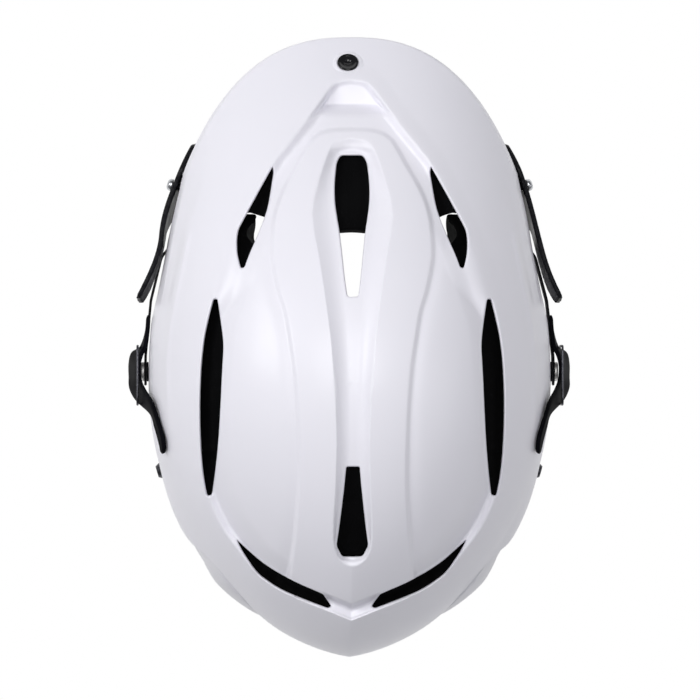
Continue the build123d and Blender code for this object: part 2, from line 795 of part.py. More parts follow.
# Chin cup and the pad in it
cup_side = [
    (cup_y - cup_round * cup_open_share, cup_z + cup_round + overrun),
    (cup_y + cup_round + overrun, cup_z - cup_round * cup_open_share),
    (cup_y + cup_round + overrun, cup_z - cup_round - overrun),
    (cup_y - cup_round - overrun, cup_z - cup_round - overrun),
    (cup_y - cup_round - overrun, cup_z + cup_round + overrun),
]
with BuildPart() as chin_cup:
    add(cup_form(0))
    add(cup_form(cup_wall), mode=Mode.SUBTRACT)
    add(slab(cup_side, -cup_half, cup_half), mode=Mode.INTERSECT)
save(chin_cup, "chin_cup")
with BuildPart() as chin_cup_pad:
    add(cup_form(cup_wall + clearance))
    add(cup_form(cup_wall + clearance + cup_pad_wall), mode=Mode.SUBTRACT)
    add(slab(cup_side, -cup_half, cup_half), mode=Mode.INTERSECT)
save(chin_cup_pad, "chin_cup_pad")

# Chin strap webbing, upright in its width along the whole line, and its sliders
strap_line = [(strap_x + x, y) for x, y in strap_points]
drop = atan2(stud_z - cup_z, stud_y - cup_y)
strap_run = hypot(stud_z - cup_z, stud_y - cup_y)


def strap_side(width):
    """A long band seen from the side, from the stud to the cup."""
    with BuildPart() as body:
        with BuildSketch(Plane.YZ):
            with Locations(Location(((stud_y + cup_y) / 2, (stud_z + cup_z) / 2), degrees(drop))):
                SlotCenterToCenter(strap_run, width)
        extrude(amount=wide)
    return body.part


with BuildPart() as strap:
    with BuildSketch(Plane.XY):
        with BuildLine():
            FilletPolyline(*strap_line, radius=strap_corner)
        trace(line_width=strap_wall)
    extrude(amount=crown_height)
    add(strap_side(strap_width), mode=Mode.INTERSECT)
    add(cup_form(-clearance), mode=Mode.SUBTRACT)
    with BuildSketch(Plane.YZ):
        with Locations((stud_y, stud_z)):
            Circle(stud_neck / 2 + clearance)
    extrude(amount=wide, mode=Mode.SUBTRACT)
save_pair(strap, "chin_strap")

fall = (strap_line[-1][1] - strap_line[-2][1], strap_line[-1][0] - strap_line[-2][0])
slider_turn = degrees(atan2(fall[0], fall[1]))
slider_x = strap_line[-2][0] + (slider_y - strap_line[-2][1]) * fall[1] / fall[0]
with BuildPart() as slot:
    with BuildSketch(Plane.XY):
        with Locations(Location((slider_x, slider_y), slider_turn)):
            Rectangle(2 * slider_length, strap_wall + 2 * clearance)
    extrude(amount=crown_height)
    add(strap_side(strap_width + 2 * clearance), mode=Mode.INTERSECT)
with BuildPart() as slider:
    with BuildSketch(Plane.XY):
        with Locations(Location((slider_x, slider_y), slider_turn)):
            Rectangle(slider_length, strap_wall + 2 * clearance + 2 * slider_wall)
    extrude(amount=crown_height)
    add(strap_side(strap_width + 2 * clearance + 2 * slider_wall), mode=Mode.INTERSECT)
    add(slot.part, mode=Mode.SUBTRACT)
save_pair(slider, "strap_slider")

# Liner pads, between the shell and the room for the head
head_form = closed_loft([(z, oval(w, front, back, head_power_share)) for z, w, front, back in head_rows])
nape_front, nape_top = profile(nape_edge_shares)[-1]
pad_floor = [
    (-half_length, brow_pad_base), (-half_length * 0.45, brow_pad_base), (-half_length * 0.4, pad_base),
    (nape_front - corner, pad_base), (nape_front - corner, nape_top + pad_gap),
    (half_length, nape_top + pad_gap), (half_length, top), (-half_length, top),
]
scoop_clear = [(y + pad_gap, z - pad_gap) for y, z in scoop_wall_points]
with BuildPart() as pads:
    add(form(valley_depth + wall + pad_gap))
    add(head_form, mode=Mode.SUBTRACT)
    add(slab(pad_floor, -wide, wide), mode=Mode.INTERSECT)
middle_pads = {"front_pad": front_pad_shares, "crown_pad": crown_pad_shares, "rear_pad": rear_pad_shares}
for name, shares in middle_pads.items():
    with BuildPart() as pad:
        add(pads.part)
        add(column(mirrored(plan(shares)), 0, top), mode=Mode.INTERSECT)
        if name == "front_pad":
            add(slab(scoop_clear, -wide, wide), mode=Mode.SUBTRACT)
    save(pad, name)
with BuildPart() as side_pad:
    add(pads.part)
    add(column(plan(side_pad_shares), 0, top), mode=Mode.INTERSECT)
save_pair(side_pad, "side_pad")
jaw_side = [
    (jaw_pad_front, jaw_pad_low), (jaw_pad_back, jaw_pad_low),
    (jaw_pad_back, jaw_pad_high), (jaw_pad_front, jaw_pad_high),
]
with BuildPart() as jaw_pad:
    add(form(wall + 2 * pad_gap))
    add(form(wall + 2 * pad_gap + jaw_pad_wall), mode=Mode.SUBTRACT)
    add(slab(jaw_side, 0, wide, corner), mode=Mode.INTERSECT)
save_pair(jaw_pad, "jaw_pad")

# Fit cradle: a curved plate with two sleeves that run on the posts of the nape guard
cradle_low = cradle_z - cradle_height / 2
plate_turn = degrees(atan2(cradle_half, cradle_round))
plate_y = cradle_centre + sqrt(cradle_round ** 2 - post_x ** 2)
with BuildPart() as fit_cradle:
    with BuildSketch(Plane.XY.offset(cradle_low)):
        with BuildLine():
            CenterArc((0, cradle_centre), cradle_round, 90 - plate_turn, 2 * plate_turn)
        trace(line_width=cradle_wall)
    extrude(amount=cradle_height)
    with BuildSketch(Plane.XZ.offset(-plate_y)):
        with Locations((post_x, cradle_z), (-post_x, cradle_z)):
            Circle(post / 2 + clearance + sleeve_wall)
    extrude(amount=-sleeve_length)
    with BuildSketch(Plane.XZ.offset(-plate_y - cradle_wall)):
        with Locations((post_x, cradle_z), (-post_x, cradle_z)):
            Circle(post / 2 + clearance)
    extrude(amount=-sleeve_length, mode=Mode.SUBTRACT)
save(fit_cradle, "fit_cradle")
pad_radius = cradle_round - cradle_wall / 2 - clearance - cradle_pad_wall / 2
pad_turn = degrees(atan2(cradle_pad_half, cradle_round))
with BuildPart() as cradle_pad:
    with BuildSketch(Plane.XY.offset(cradle_low + corner)):
        with BuildLine():
            CenterArc((0, cradle_centre), pad_radius, 90 - pad_turn, 2 * pad_turn)
        trace(line_width=cradle_pad_wall)
    extrude(amount=cradle_height - 2 * corner)
save(cradle_pad, "cradle_pad")
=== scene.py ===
from math import cos, pi, radians, sin, sqrt

import bpy
import numpy as np
from mathutils import Matrix, Vector


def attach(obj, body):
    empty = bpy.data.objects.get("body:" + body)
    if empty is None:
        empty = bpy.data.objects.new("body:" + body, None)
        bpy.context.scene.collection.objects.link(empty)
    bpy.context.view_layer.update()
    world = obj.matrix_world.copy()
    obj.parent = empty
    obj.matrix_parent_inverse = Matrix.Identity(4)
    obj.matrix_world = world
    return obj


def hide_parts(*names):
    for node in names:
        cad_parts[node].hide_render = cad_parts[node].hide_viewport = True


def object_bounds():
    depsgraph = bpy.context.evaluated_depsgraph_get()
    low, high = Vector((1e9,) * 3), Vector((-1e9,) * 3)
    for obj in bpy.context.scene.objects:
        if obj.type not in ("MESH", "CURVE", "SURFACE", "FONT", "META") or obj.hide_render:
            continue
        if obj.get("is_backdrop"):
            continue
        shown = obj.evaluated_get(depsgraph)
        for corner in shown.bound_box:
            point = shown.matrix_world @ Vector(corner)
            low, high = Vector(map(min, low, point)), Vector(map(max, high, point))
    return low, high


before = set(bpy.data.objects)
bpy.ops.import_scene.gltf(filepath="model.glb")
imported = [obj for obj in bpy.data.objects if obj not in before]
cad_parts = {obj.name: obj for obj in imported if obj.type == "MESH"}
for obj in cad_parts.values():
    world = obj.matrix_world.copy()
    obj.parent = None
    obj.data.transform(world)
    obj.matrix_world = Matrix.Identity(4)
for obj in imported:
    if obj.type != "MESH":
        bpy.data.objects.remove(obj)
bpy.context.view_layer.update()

# Lacrosse helmet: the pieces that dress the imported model, their materials, and the studio.
# Lengths in this script are millimetres, as in the part's source, until a mesh is made.
MM = 0.001

# The shell's form, with the sizes of the part's source
HALF_LENGTH = 166.6
HALF_WIDTH = 108.5
CROWN = 240.0
WIDEST_Y = 18.0
BROW = 148.0
SIDE = 110.0
TAIL = 105.0
WALL = 3.2
FRONT_REACH = HALF_LENGTH + WIDEST_Y
BACK_REACH = HALF_LENGTH - WIDEST_Y
BROW_SOFT = 0.25       # how softly the brow turns into the crown
CHIN_LEAN = 0.25       # how fast the front goes forward below the brow
SIDE_POWER = 2.2
SIDE_TUCK = 0.06
TAIL_TUCK = 0.1
TAIL_POINT = 0.17      # how blunt the tail is; 0 is a sharp point
SEAT_DEPTH = 2.4       # the hollow in each side where the chin guard's arm lies
SEAT_BASE = 130
SEAT_TOP = 172
SEAT_TURN = 0.38
SEAT_SPREAD = 0.05

# The photograph
SCALE = 0.532          # millimetres per pixel, at the height of the crown
MIDDLE_ROW = 348.5     # the row over the origin


def reaches(z):
    """Half width, front reach and back reach of the shell form at each height."""
    z = np.asarray(z, float)
    side = np.clip((z - SIDE) / (CROWN - SIDE), 0, 1)
    width = HALF_WIDTH * (1 - side ** SIDE_POWER) ** (1 / SIDE_POWER)
    low = np.clip((SIDE - z) / SIDE, 0, None)
    width = width * (1 - SIDE_TUCK * (low * 1.5) ** 2)
    soft = BROW_SOFT ** 1.5
    full = (1 + BROW_SOFT ** 2) ** 0.75 - soft
    rise = np.clip((z - BROW) / (CROWN - BROW), 0, 1)
    above = ((1 - rise) * full + soft) ** (4 / 3) - BROW_SOFT ** 2
    above = FRONT_REACH * np.sqrt(np.clip(above, 0, None))
    front = np.where(z > BROW, above, FRONT_REACH + (BROW - z) * CHIN_LEAN)
    drop = (z - TAIL) / (CROWN - TAIL)
    over = np.sqrt(np.clip(1 - drop ** 2, 0, None))
    back = np.where(drop > 0, over, 1 - TAIL_TUCK * (drop * 2) ** 2)
    return width, front, BACK_REACH * back


def form_x(turn, z, width):
    """Half width of the form where it has turned from the front, 0, to the back, 1."""
    across = np.sin(np.pi * turn)
    power = 0.8 + 0.2 * np.clip((z - BROW) / (CROWN - BROW), 0, 1)
    fade = np.clip((SEAT_TOP - z) / (SEAT_TOP - SEAT_BASE), 0, 1)
    near = np.exp(-((turn - SEAT_TURN) / SEAT_SPREAD) ** 2)
    front = width * np.clip(across, 0, None) ** power - SEAT_DEPTH * fade * near
    back = width * across ** 2 / (TAIL_POINT + (1 - TAIL_POINT) * np.clip(across, 0, None))
    return np.where(turn <= 0.5, front, back)


def form_point(turn, z):
    """A point of the form on the wearer's left."""
    width, front, back = reaches(z)
    y = WIDEST_Y - np.where(turn <= 0.5, front, back) * np.cos(np.pi * turn)
    return form_x(turn, z, width), y


def wall_x(y, z):
    """Half width of the form at one place and height; negative in front of it and behind it."""
    y = np.asarray(y, float)
    width, front, back = reaches(z)
    reach = np.where(y < WIDEST_Y, front, back)
    along = (WIDEST_Y - y) / np.maximum(reach, 1e-6)
    turn = np.arccos(np.clip(along, -1, 1)) / np.pi
    return np.where(np.abs(along) <= 1, form_x(turn, z, width), -1)


def height(x, y):
    """Height of the form over each place seen from above."""
    x = np.abs(np.asarray(x, float))
    low = np.full(x.shape, SIDE)
    high = np.full(x.shape, CROWN - 1e-4)
    for _ in range(34):
        middle = (low + high) / 2
        inside = wall_x(y, middle) >= x
        low = np.where(inside, middle, low)
        high = np.where(inside, high, middle)
    return low


# Lines and outlines

def smooth_step(value):
    """From 0 to 1, with a level start and end."""
    value = np.clip(value, 0, 1)
    return value * value * (3 - 2 * value)


def bent(points, steps=10, first=None, last=None):
    """A smooth line through the points; first and last are the points beyond its ends."""
    p = np.asarray(points, float)
    first = 2 * p[0] - p[1] if first is None else np.asarray(first, float)
    last = 2 * p[-1] - p[-2] if last is None else np.asarray(last, float)
    p = np.vstack([first, p, last])
    out = []
    for k in range(1, len(p) - 2):
        for step in range(steps):
            t = step / steps
            a, b, c, d = p[k - 1], p[k], p[k + 1], p[k + 2]
            out.append(0.5 * (2 * b + (c - a) * t + (2 * a - 5 * b + 4 * c - d) * t * t
                              + (3 * b - a - 3 * c + d) * t ** 3))
    out.append(p[-2])
    return np.array(out)


def both_sides(half):
    """A closed outline from its wearer's left half, front to back."""
    half = np.asarray(half, float)
    other = half[::-1] * (-1, 1)
    keep = np.abs(other[:, 0]) > 1e-6
    return np.vstack([half, other[keep]])


def rounded(points, radius):
    """A closed outline with its corners rounded off; one radius, or one for each corner."""
    p = np.asarray(points, float)
    radii = np.broadcast_to(radius, (len(p),))
    out = []
    for k in range(len(p)):
        a, b, c = p[k - 1], p[k], p[(k + 1) % len(p)]
        before, after = np.linalg.norm(a - b), np.linalg.norm(c - b)
        reach = min(radii[k], before * 0.5, after * 0.5)
        start = b + (a - b) / before * reach
        end = b + (c - b) / after * reach
        for step in range(7):
            t = step / 6
            out.append((1 - t) ** 2 * start + 2 * t * (1 - t) * b + t * t * end)
    return np.array(out)


def seen(half, row):
    """Pixels of the photograph, from its middle line and from its top, as millimetres."""
    return np.array([half, np.asarray(row, float) - MIDDLE_ROW]).T * SCALE


def distance(x, y, outline):
    """Distance to a closed outline, negative inside, and the nearest places on it."""
    a = np.asarray(outline, float)
    b = np.roll(a, -1, axis=0)
    best = np.full(x.shape, 1e12)
    near_x = np.zeros(x.shape)
    near_y = np.zeros(x.shape)
    inside = np.zeros(x.shape, bool)
    for (ax, ay), (bx, by) in zip(a, b):
        dx, dy = bx - ax, by - ay
        size = dx * dx + dy * dy
        if size < 1e-12:
            continue
        t = np.clip(((x - ax) * dx + (y - ay) * dy) / size, 0, 1)
        qx, qy = ax + t * dx, ay + t * dy
        far = (x - qx) ** 2 + (y - qy) ** 2
        closer = far < best
        best = np.where(closer, far, best)
        near_x = np.where(closer, qx, near_x)
        near_y = np.where(closer, qy, near_y)
        if ay != by:
            crosses = ((ay > y) != (by > y)) & (x < dx * (y - ay) / dy + ax)
            inside ^= crosses
    best = np.sqrt(best)
    return np.where(inside, -best, best), near_x, near_y


# Outlines traced on the photograph: pixels from its middle line, and pixel rows
ARCH = both_sides(bent(
    seen([0, 12, 20, 33, 53, 68, 80, 97, 113, 126, 136, 144, 148, 151,
          152, 150, 146, 141, 130, 117, 97, 62, 22, 0],
         [77, 79, 84, 102, 128, 147, 163, 197, 231, 263, 293, 318, 345, 385,
          420, 460, 492, 508, 530, 548, 572, 595, 612, 621]),
    8, first=seen([-12], [79])[0], last=seen([-22], [612])[0] * (0, 1) + (-3, 6)))
PLATEAU = both_sides(bent(
    seen([0, 18, 30, 37, 43, 56, 69, 77, 80, 80, 74,
          67.5, 63, 59, 56, 54.5, 54, 57, 61, 66, 70],
         [129, 129.8, 132.5, 137, 143.5, 167.5, 191, 214, 238, 260, 290,
          312, 338, 365, 400, 430, 482, 530, 562, 590, 625]),
    6, first=seen([-20], [126])[0]))

# The channel: half widths of its top and of its floor, against the row; below 0 it has no level floor
CHANNEL_ROWS = np.array([138, 138.6, 140, 142, 144.5, 149, 160, 177, 199, 215, 236, 260, 280,
                         310, 338, 390, 443, 490, 520, 538, 549, 557, 563, 567, 568.5])
CHANNEL_TOPS = np.array([0, 8, 15, 19, 21.5, 23.5, 27.5, 33, 39, 41, 38.5, 34, 31,
                         27, 23.5, 19.5, 18, 19, 20.5, 20.5, 19, 16, 11.5, 6, 0])
FLOOR_ROWS = np.array([138, 140, 143, 147, 148.5, 150, 152.5, 158, 168, 200, 236, 260, 290, 320,
                       360, 443, 470, 500, 528, 546, 553, 557.5, 559.5, 561, 563, 566, 568.5])
FLOOR_EDGES = np.array([-70, -45, -20, -5, 2, 8, 13, 16.5, 19, 20.5, 18, 15, 12, 9.5,
                        7.5, 7, 8.5, 11.5, 15, 16.5, 13.5, 9, 4, -4, -14, -32, -60])

# Vents, with a radius for each corner
FRONT_VENT = rounded(
    both_sides(seen([11.5, 15.2, 17.4, 17.2, 15.4, 12.8, 10.2, 7.8, 5.2],
                    [155.5, 163.5, 184, 202, 216, 231, 254, 279, 297])),
    [2, 1.5, 9, 9, 9, 9, 9, 9, 1.2, 1.2, 9, 9, 9, 9, 9, 9, 1.5, 2])
REAR_VENT = rounded(
    both_sides(seen([6.6, 8, 10.5, 13.3, 15.8, 10.2],
                    [466, 482, 505, 528, 545, 556])),
    [1, 9, 9, 9, 1.5, 1.5, 1.5, 1.5, 9, 9, 9, 1])
BROW_VENT = rounded(
    seen([79.5, 97, 113.5, 115, 114.5, 111, 107.5, 103.5, 96, 89, 84, 80.5, 78.5],
         [167, 199, 230, 240, 255, 268.5, 267.5, 256, 239, 222, 207, 186, 172]),
    [0.6, 9, 2, 6, 6, 1.6, 1.6, 6, 9, 9, 9, 9, 6])
SIDE_VENT = rounded(
    seen([138, 142, 147, 150, 151.5, 151.5, 150, 147.5, 144.5,
          140, 136.5, 133.5, 131.5, 130, 128.5, 129.5, 134.5],
         [299.5, 314, 336, 362, 395, 425, 458, 480, 496,
          495, 470, 440, 405, 372, 346, 334, 299.5]),
    [1.3, 9, 9, 9, 9, 9, 9, 9, 1.2, 1.2, 9, 9, 9, 9, 5, 5, 1.3])
REAR_SLOT = rounded(
    seen([114.5, 109.5, 97.5, 91, 72.7, 52.8, 23.5, 20.3, 28.6, 40, 53, 75.5, 92.5, 104],
         [541, 551, 569, 576, 589, 597.5, 608.8, 607, 594.5, 589.5, 584, 572.5, 560.8, 550.5]),
    [0.5, 6, 4, 4, 9, 9, 1, 0.8, 0.8, 6, 9, 9, 9, 6])
VENTS = [FRONT_VENT, REAR_VENT]
for vent in (BROW_VENT, SIDE_VENT, REAR_SLOT):
    VENTS += [vent, vent * (-1, 1)]

# Ear slots, seen from the side
SLOT_FRONT, SLOT_BACK, SLOT_RADIUS = 9, 39, 4
EAR_SLOTS = []
for slot_z in (66, 80):
    low, high = slot_z - SLOT_RADIUS, slot_z + SLOT_RADIUS
    EAR_SLOTS.append(rounded([(SLOT_FRONT, low), (SLOT_BACK, low), (SLOT_BACK, high), (SLOT_FRONT, high)],
                             SLOT_RADIUS))

# The shell's lower edge seen from the side, as shares of the half length and the crown's height
EDGE = np.array([
    (-1.06, 0.617), (-0.66, 0.575), (-0.45, 0.542), (-0.36, 0.49), (-0.3, 0.34),
    (-0.24, 0.25), (-0.19, 0.215), (0.25, 0.215), (0.4, 0.28), (0.56, 0.44),
    (0.66, 0.585), (0.72, 0.6), (0.8, 0.57), (0.93, 0.46), (1.06, 0.4),
]) * (HALF_LENGTH, CROWN)
EDGE_Y = np.linspace(-185, 185, 1481)
EDGE_Z = np.interp(EDGE_Y, EDGE[:, 0], EDGE[:, 1])
EDGE_Z = np.convolve(np.pad(EDGE_Z, 20, mode="edge"), np.hanning(41) / np.hanning(41).sum(), "valid")


def edge_height(y):
    """Height of the shell's lower edge, with its corners evened out."""
    return np.interp(y, EDGE_Y, EDGE_Z)


# Relief of the shell: rises over the form, and depths below it

RING_RISE = 0.7        # the ring, where it meets the arch
CREASE_FALL = 7.5      # the side, below its crease
CREASE_RISE = 1.5
ARCH_RISE = 0.7        # the crown's rim, where it meets the arch
VALLEY_DEPTH = 4.4     # from the crown's rim to the valley behind it
LOBE_RISE = 1.6
GROOVE_DEPTH = 0.9     # the groove at the plateau's foot
PLATEAU_LEVEL = -1.65
CHANNEL_DEPTH = 4.4
CHANNEL_ROUND = 4      # radius that rounds the channel's two ends
SCOOP_FLOOR = BROW + 17.4
SCOOP_BACK = -130.4    # where the scoop's floor turns up towards the crown
SCOOP_SLOPE = 0.62
SCOOP_SOFT = 1.6


# The crease low on each side: places along the helmet, and half widths
CREASE_Y = [-68, -62, -12, 8, 60, 90]
CREASE_X = [82, 87, 97, 99, 97, 92]


def ring_relief(half, y, z, out, slope):
    """The ring swells a little towards the arch, and has a long soft crease low on each side."""
    swell = np.where((out >= 0) & (z > 120), RING_RISE * (1 - smooth_step(out / 9)), 0)
    crease = np.interp(y, CREASE_Y, CREASE_X)
    strength = smooth_step((y + 66) / 12) * smooth_step((52 - y) / 36) * slope * (z > 112)
    fall = CREASE_FALL * strength * np.clip((half - crease) / 11, 0, 1)
    ridge = CREASE_RISE * strength * np.exp(-((half - crease) / 1.7) ** 2)
    return swell - fall + ridge


def crown_relief(half, y, inner):
    """The valley inside the arch, the side lobes, the plateau and its channel."""
    lobe = smooth_step((y + 78) / 26)
    wide = 5.5 + 13 * np.exp(-((y + 41) / 20) ** 2)
    front = smooth_step((y + 146) / 24)
    valley = ARCH_RISE - VALLEY_DEPTH * smooth_step(inner / wide) * front
    crown = valley + lobe * LOBE_RISE * smooth_step((inner - 7.5) / 9)
    step, _, _ = distance(half, y, PLATEAU)
    crown = crown - GROOVE_DEPTH * np.exp(-(np.clip(step, 0, None) / 5) ** 2) * lobe
    ledge = np.clip((inner - 6) / 2.5, 0, 1)
    crown = crown + (PLATEAU_LEVEL - crown) * smooth_step(0.5 - step / 3.0) * ledge
    row = y / SCALE + MIDDLE_ROW
    wall_top = np.interp(row, CHANNEL_ROWS, CHANNEL_TOPS, left=-9, right=-9) * SCALE
    floor_edge = np.interp(row, FLOOR_ROWS, FLOOR_EDGES, left=-4, right=-4) * SCALE
    run = np.maximum(wall_top - floor_edge, 1.5)
    down = np.clip((wall_top - np.hypot(half, CHANNEL_ROUND)) / run, 0, 1)
    return crown - CHANNEL_DEPTH * (1.5 - 0.5 * down ** 2) * down


def scoop_cut(y, surface, inner):
    """How much of the surface the scoop between the brim and the crown takes away."""
    floor = SCOOP_FLOOR + np.clip(y - SCOOP_BACK, 0, None) / SCOOP_SLOPE
    gap = surface - floor
    cut = np.clip(gap, 0, None)
    blend = (gap + SCOOP_SOFT) ** 2 / (4 * SCOOP_SOFT)
    cut = np.where(np.abs(gap) < SCOOP_SOFT, blend, cut)
    return np.where((inner > 0) & (y < -100), cut * smooth_step(inner / 3.4), 0)


def relief(x, y, z, slope):
    """How far each place of the shell rises straight up over its form.

    The slope is the upright share of the form's normal."""
    half = np.abs(x)
    out, _, _ = distance(half, y, ARCH)
    ring = ring_relief(half, y, z, out, slope)
    crown = crown_relief(half, y, -out)
    rise = np.where(out < 0, crown, ring) / np.maximum(slope, 0.35)
    return rise - scoop_cut(y, z + rise, -out)


# Meshes

def new_mesh(name, points, quads, tris=None):
    """An object from points in millimetres and rows of corners."""
    points = np.asarray(points, float)
    quads = np.asarray(quads, int).reshape(-1, 4)
    tris = np.zeros((0, 3), int) if tris is None else np.asarray(tris, int).reshape(-1, 3)
    mesh = bpy.data.meshes.new(name)
    mesh.vertices.add(len(points))
    mesh.vertices.foreach_set("co", (points * MM).ravel())
    corners = np.concatenate([quads.ravel(), tris.ravel()])
    mesh.loops.add(len(corners))
    mesh.loops.foreach_set("vertex_index", corners)
    starts = np.concatenate([np.arange(len(quads)) * 4, len(quads) * 4 + np.arange(len(tris)) * 3])
    mesh.polygons.add(len(starts))
    mesh.polygons.foreach_set("loop_start", starts)
    mesh.polygons.foreach_set("use_smooth", np.ones(len(starts), bool))
    mesh.update(calc_edges=True)
    mesh.validate()
    piece = bpy.data.objects.new(name, mesh)
    bpy.context.scene.collection.objects.link(piece)
    return piece


# Shell: one fine surface with its relief, its vents cut out, and an inner surface joined round every edge

def turn_places(count):
    """Turns from the front to the back, evenly spaced along the form a little above its widest level."""
    fine = np.linspace(0, 1, 8001)
    x, y = form_point(fine, 150.0)
    run = np.concatenate([[0], np.cumsum(np.hypot(np.diff(x), np.diff(y)))])
    return np.interp(np.linspace(0, run[-1], count + 1), run, fine)


def level_table():
    """Heights against the share of the way up from the lowest place of the edge to the top."""
    u = np.linspace(0, 1, 6001)
    lowest = 45
    bunched = 2.6
    z = CROWN - 0.02 - (CROWN - lowest) * (1 - u) ** bunched
    run = np.zeros(len(z))
    for turn in (0.0, 0.25, 0.5, 0.75, 1.0):
        x, y = form_point(np.full(z.shape, turn), z)
        run[1:] += np.cumsum(np.sqrt(np.diff(x) ** 2 + np.diff(y) ** 2 + np.diff(z) ** 2))
    return run / run[-1], z


def shell_surface(around, rows):
    """Points of the bare form in rows from the lower edge to the top, with their normals."""
    turns = turn_places(around)
    share, levels = level_table()
    z = np.full(turns.shape, SIDE)
    for _ in range(40):
        _, y = form_point(turns, z)
        z = 0.5 * z + 0.5 * edge_height(y)
    start = np.interp(z, levels, share)
    up = np.linspace(0, 1, rows)[:, None]
    z = np.interp(start[None, :] + (1 - start[None, :]) * up, share, levels)
    x, y = form_point(np.broadcast_to(turns, z.shape), z)
    x = np.hstack([x, -x[:, -2:0:-1]])
    y = np.hstack([y, y[:, -2:0:-1]])
    z = np.hstack([z, z[:, -2:0:-1]])
    grid = np.stack([x, y, z], axis=-1)
    along = np.roll(grid, -1, axis=1) - np.roll(grid, 1, axis=1)
    rise = np.gradient(grid, axis=0)
    normal = np.cross(along, rise)
    normal /= np.maximum(np.linalg.norm(normal, axis=-1, keepdims=True), 1e-12)
    normal[-1] = (0, 0, 1)
    grid[-1] = grid[-2].mean(axis=0)
    return grid, normal


LIP = 0.9              # how far the rim of an opening swells into it
VENT_LOWEST = 130      # vents lie above this height, and ear slots below the next
SLOT_HIGHEST = 110
ABOVE = [0, 1]         # the axes of an outline drawn from above
BESIDE = [1, 2]        # the axes of an outline drawn from the side


def nearest(points, axes, outlines, grow):
    """Distance to the nearest outline grown by a little, and the nearest places on it."""
    usable = points[:, 2] > VENT_LOWEST if axes == ABOVE else points[:, 2] < SLOT_HIGHEST
    best = np.full(len(points), 1e6)
    places = points[:, axes].copy()
    for outline in outlines:
        low, high = outline.min(axis=0) - 8, outline.max(axis=0) + 8
        flat = points[:, axes]
        pick = usable & (flat > low).all(axis=1) & (flat < high).all(axis=1)
        if not pick.any():
            continue
        away, near_a, near_b = distance(flat[pick, 0], flat[pick, 1], outline)
        near = np.stack([near_a, near_b], axis=1)
        out = flat[pick] - near
        size = np.maximum(np.linalg.norm(out, axis=1), 1e-9) * np.where(away < 0, -1, 1)
        near = near + out / size[:, None] * grow
        closer = away - grow < best[pick]
        where = np.flatnonzero(pick)[closer]
        best[where] = (away - grow)[closer]
        places[where] = near[closer]
    return best, places


def border(faces):
    """Directed edges that only one face has."""
    edges = np.concatenate([faces[:, [0, 1]], faces[:, [1, 2]], faces[:, [2, 3]], faces[:, [3, 0]]])
    key = np.sort(edges, axis=1)
    key = key[:, 0] * (edges.max() + 1) + key[:, 1]
    _, first, times = np.unique(key, return_index=True, return_counts=True)
    return edges[first[times == 1]]


def cut_openings(points, quads, axes, outlines):
    """Leave out the faces inside the outlines and set their border evenly on the outlines' edge.

    The points are changed in place. Gives the faces left, the distance of each point from the nearest
    outline, and the way from each point of the border into its opening."""
    away, _ = nearest(points, axes, outlines, LIP)
    middle_away, _ = nearest(points[quads].mean(axis=1), axes, outlines, LIP)
    quads = quads[middle_away > 0]
    rim = border(quads)
    edge = np.unique(rim)
    edge = edge[np.abs(away[edge]) < 4]
    after = np.arange(len(points))
    before = after.copy()
    after[rim[:, 0]] = rim[:, 1]
    before[rim[:, 1]] = rim[:, 0]
    for time in range(5):
        if time > 0:
            points[edge] = points[edge] / 2 + (points[before[edge]] + points[after[edge]]) / 4
        _, places = nearest(points[edge], axes, outlines, LIP)
        points[np.ix_(edge, axes)] = places
    if axes == ABOVE:
        points[edge, 2] = height(points[edge, 0], points[edge, 1])
    else:
        points[edge, 0] = np.sign(points[edge, 0]) * wall_x(points[edge, 1], points[edge, 2])
    _, places = nearest(points[edge], axes, outlines, 0)
    inward = np.zeros(points.shape)
    inward[np.ix_(edge, axes)] = places - points[np.ix_(edge, axes)]
    return quads, away, inward


# How far the shell's sides flare out and draw in: places along the helmet, and distances
FLARE_Y = [62, 88, 108, 122, 134]
FLARE = [0, 1.6, 2.2, 2.0, 0]
WAIST_Y = [-96, -84, -30, -14]
WAIST = [0, 1.1, 1.1, 0]


def shape_sides(points):
    """The shell's sides draw in under the chin guard's arms, and flare out by the nape guard."""
    y, z = points[:, 1], points[:, 2]
    flare = np.interp(y, FLARE_Y, FLARE) * smooth_step((148 - z) / 20)
    waist = np.interp(y, WAIST_Y, WAIST) * smooth_step((170 - z) / 14)
    points[:, 0] += (flare - waist) * np.sign(points[:, 0])


def wall_ways(normals, away):
    """The wall's way outwards: the normal, but upright at the vents, so no cut face shows from above."""
    near = np.exp(-(np.clip(away, 0, None) / 5) ** 2)[:, None]
    upright = np.zeros(normals.shape)
    upright[:, 2] = 1 / np.maximum(normals[:, 2], 0.5)
    return normals + (upright - normals) * near


def rim_bulge(outer, normals, inward, rim):
    """The way each place of the rim swells: into its opening, or out from the shell's lower edge."""
    out = np.cross(outer[rim[:, 1]] - outer[rim[:, 0]], normals[rim[:, 0]])
    bulge = np.zeros(outer.shape)
    np.add.at(bulge, rim[:, 0], out)
    np.add.at(bulge, rim[:, 1], out)
    bulge = np.where((inward != 0).any(axis=1, keepdims=True), inward, bulge)
    return bulge / np.maximum(np.linalg.norm(bulge, axis=1, keepdims=True), 1e-9)


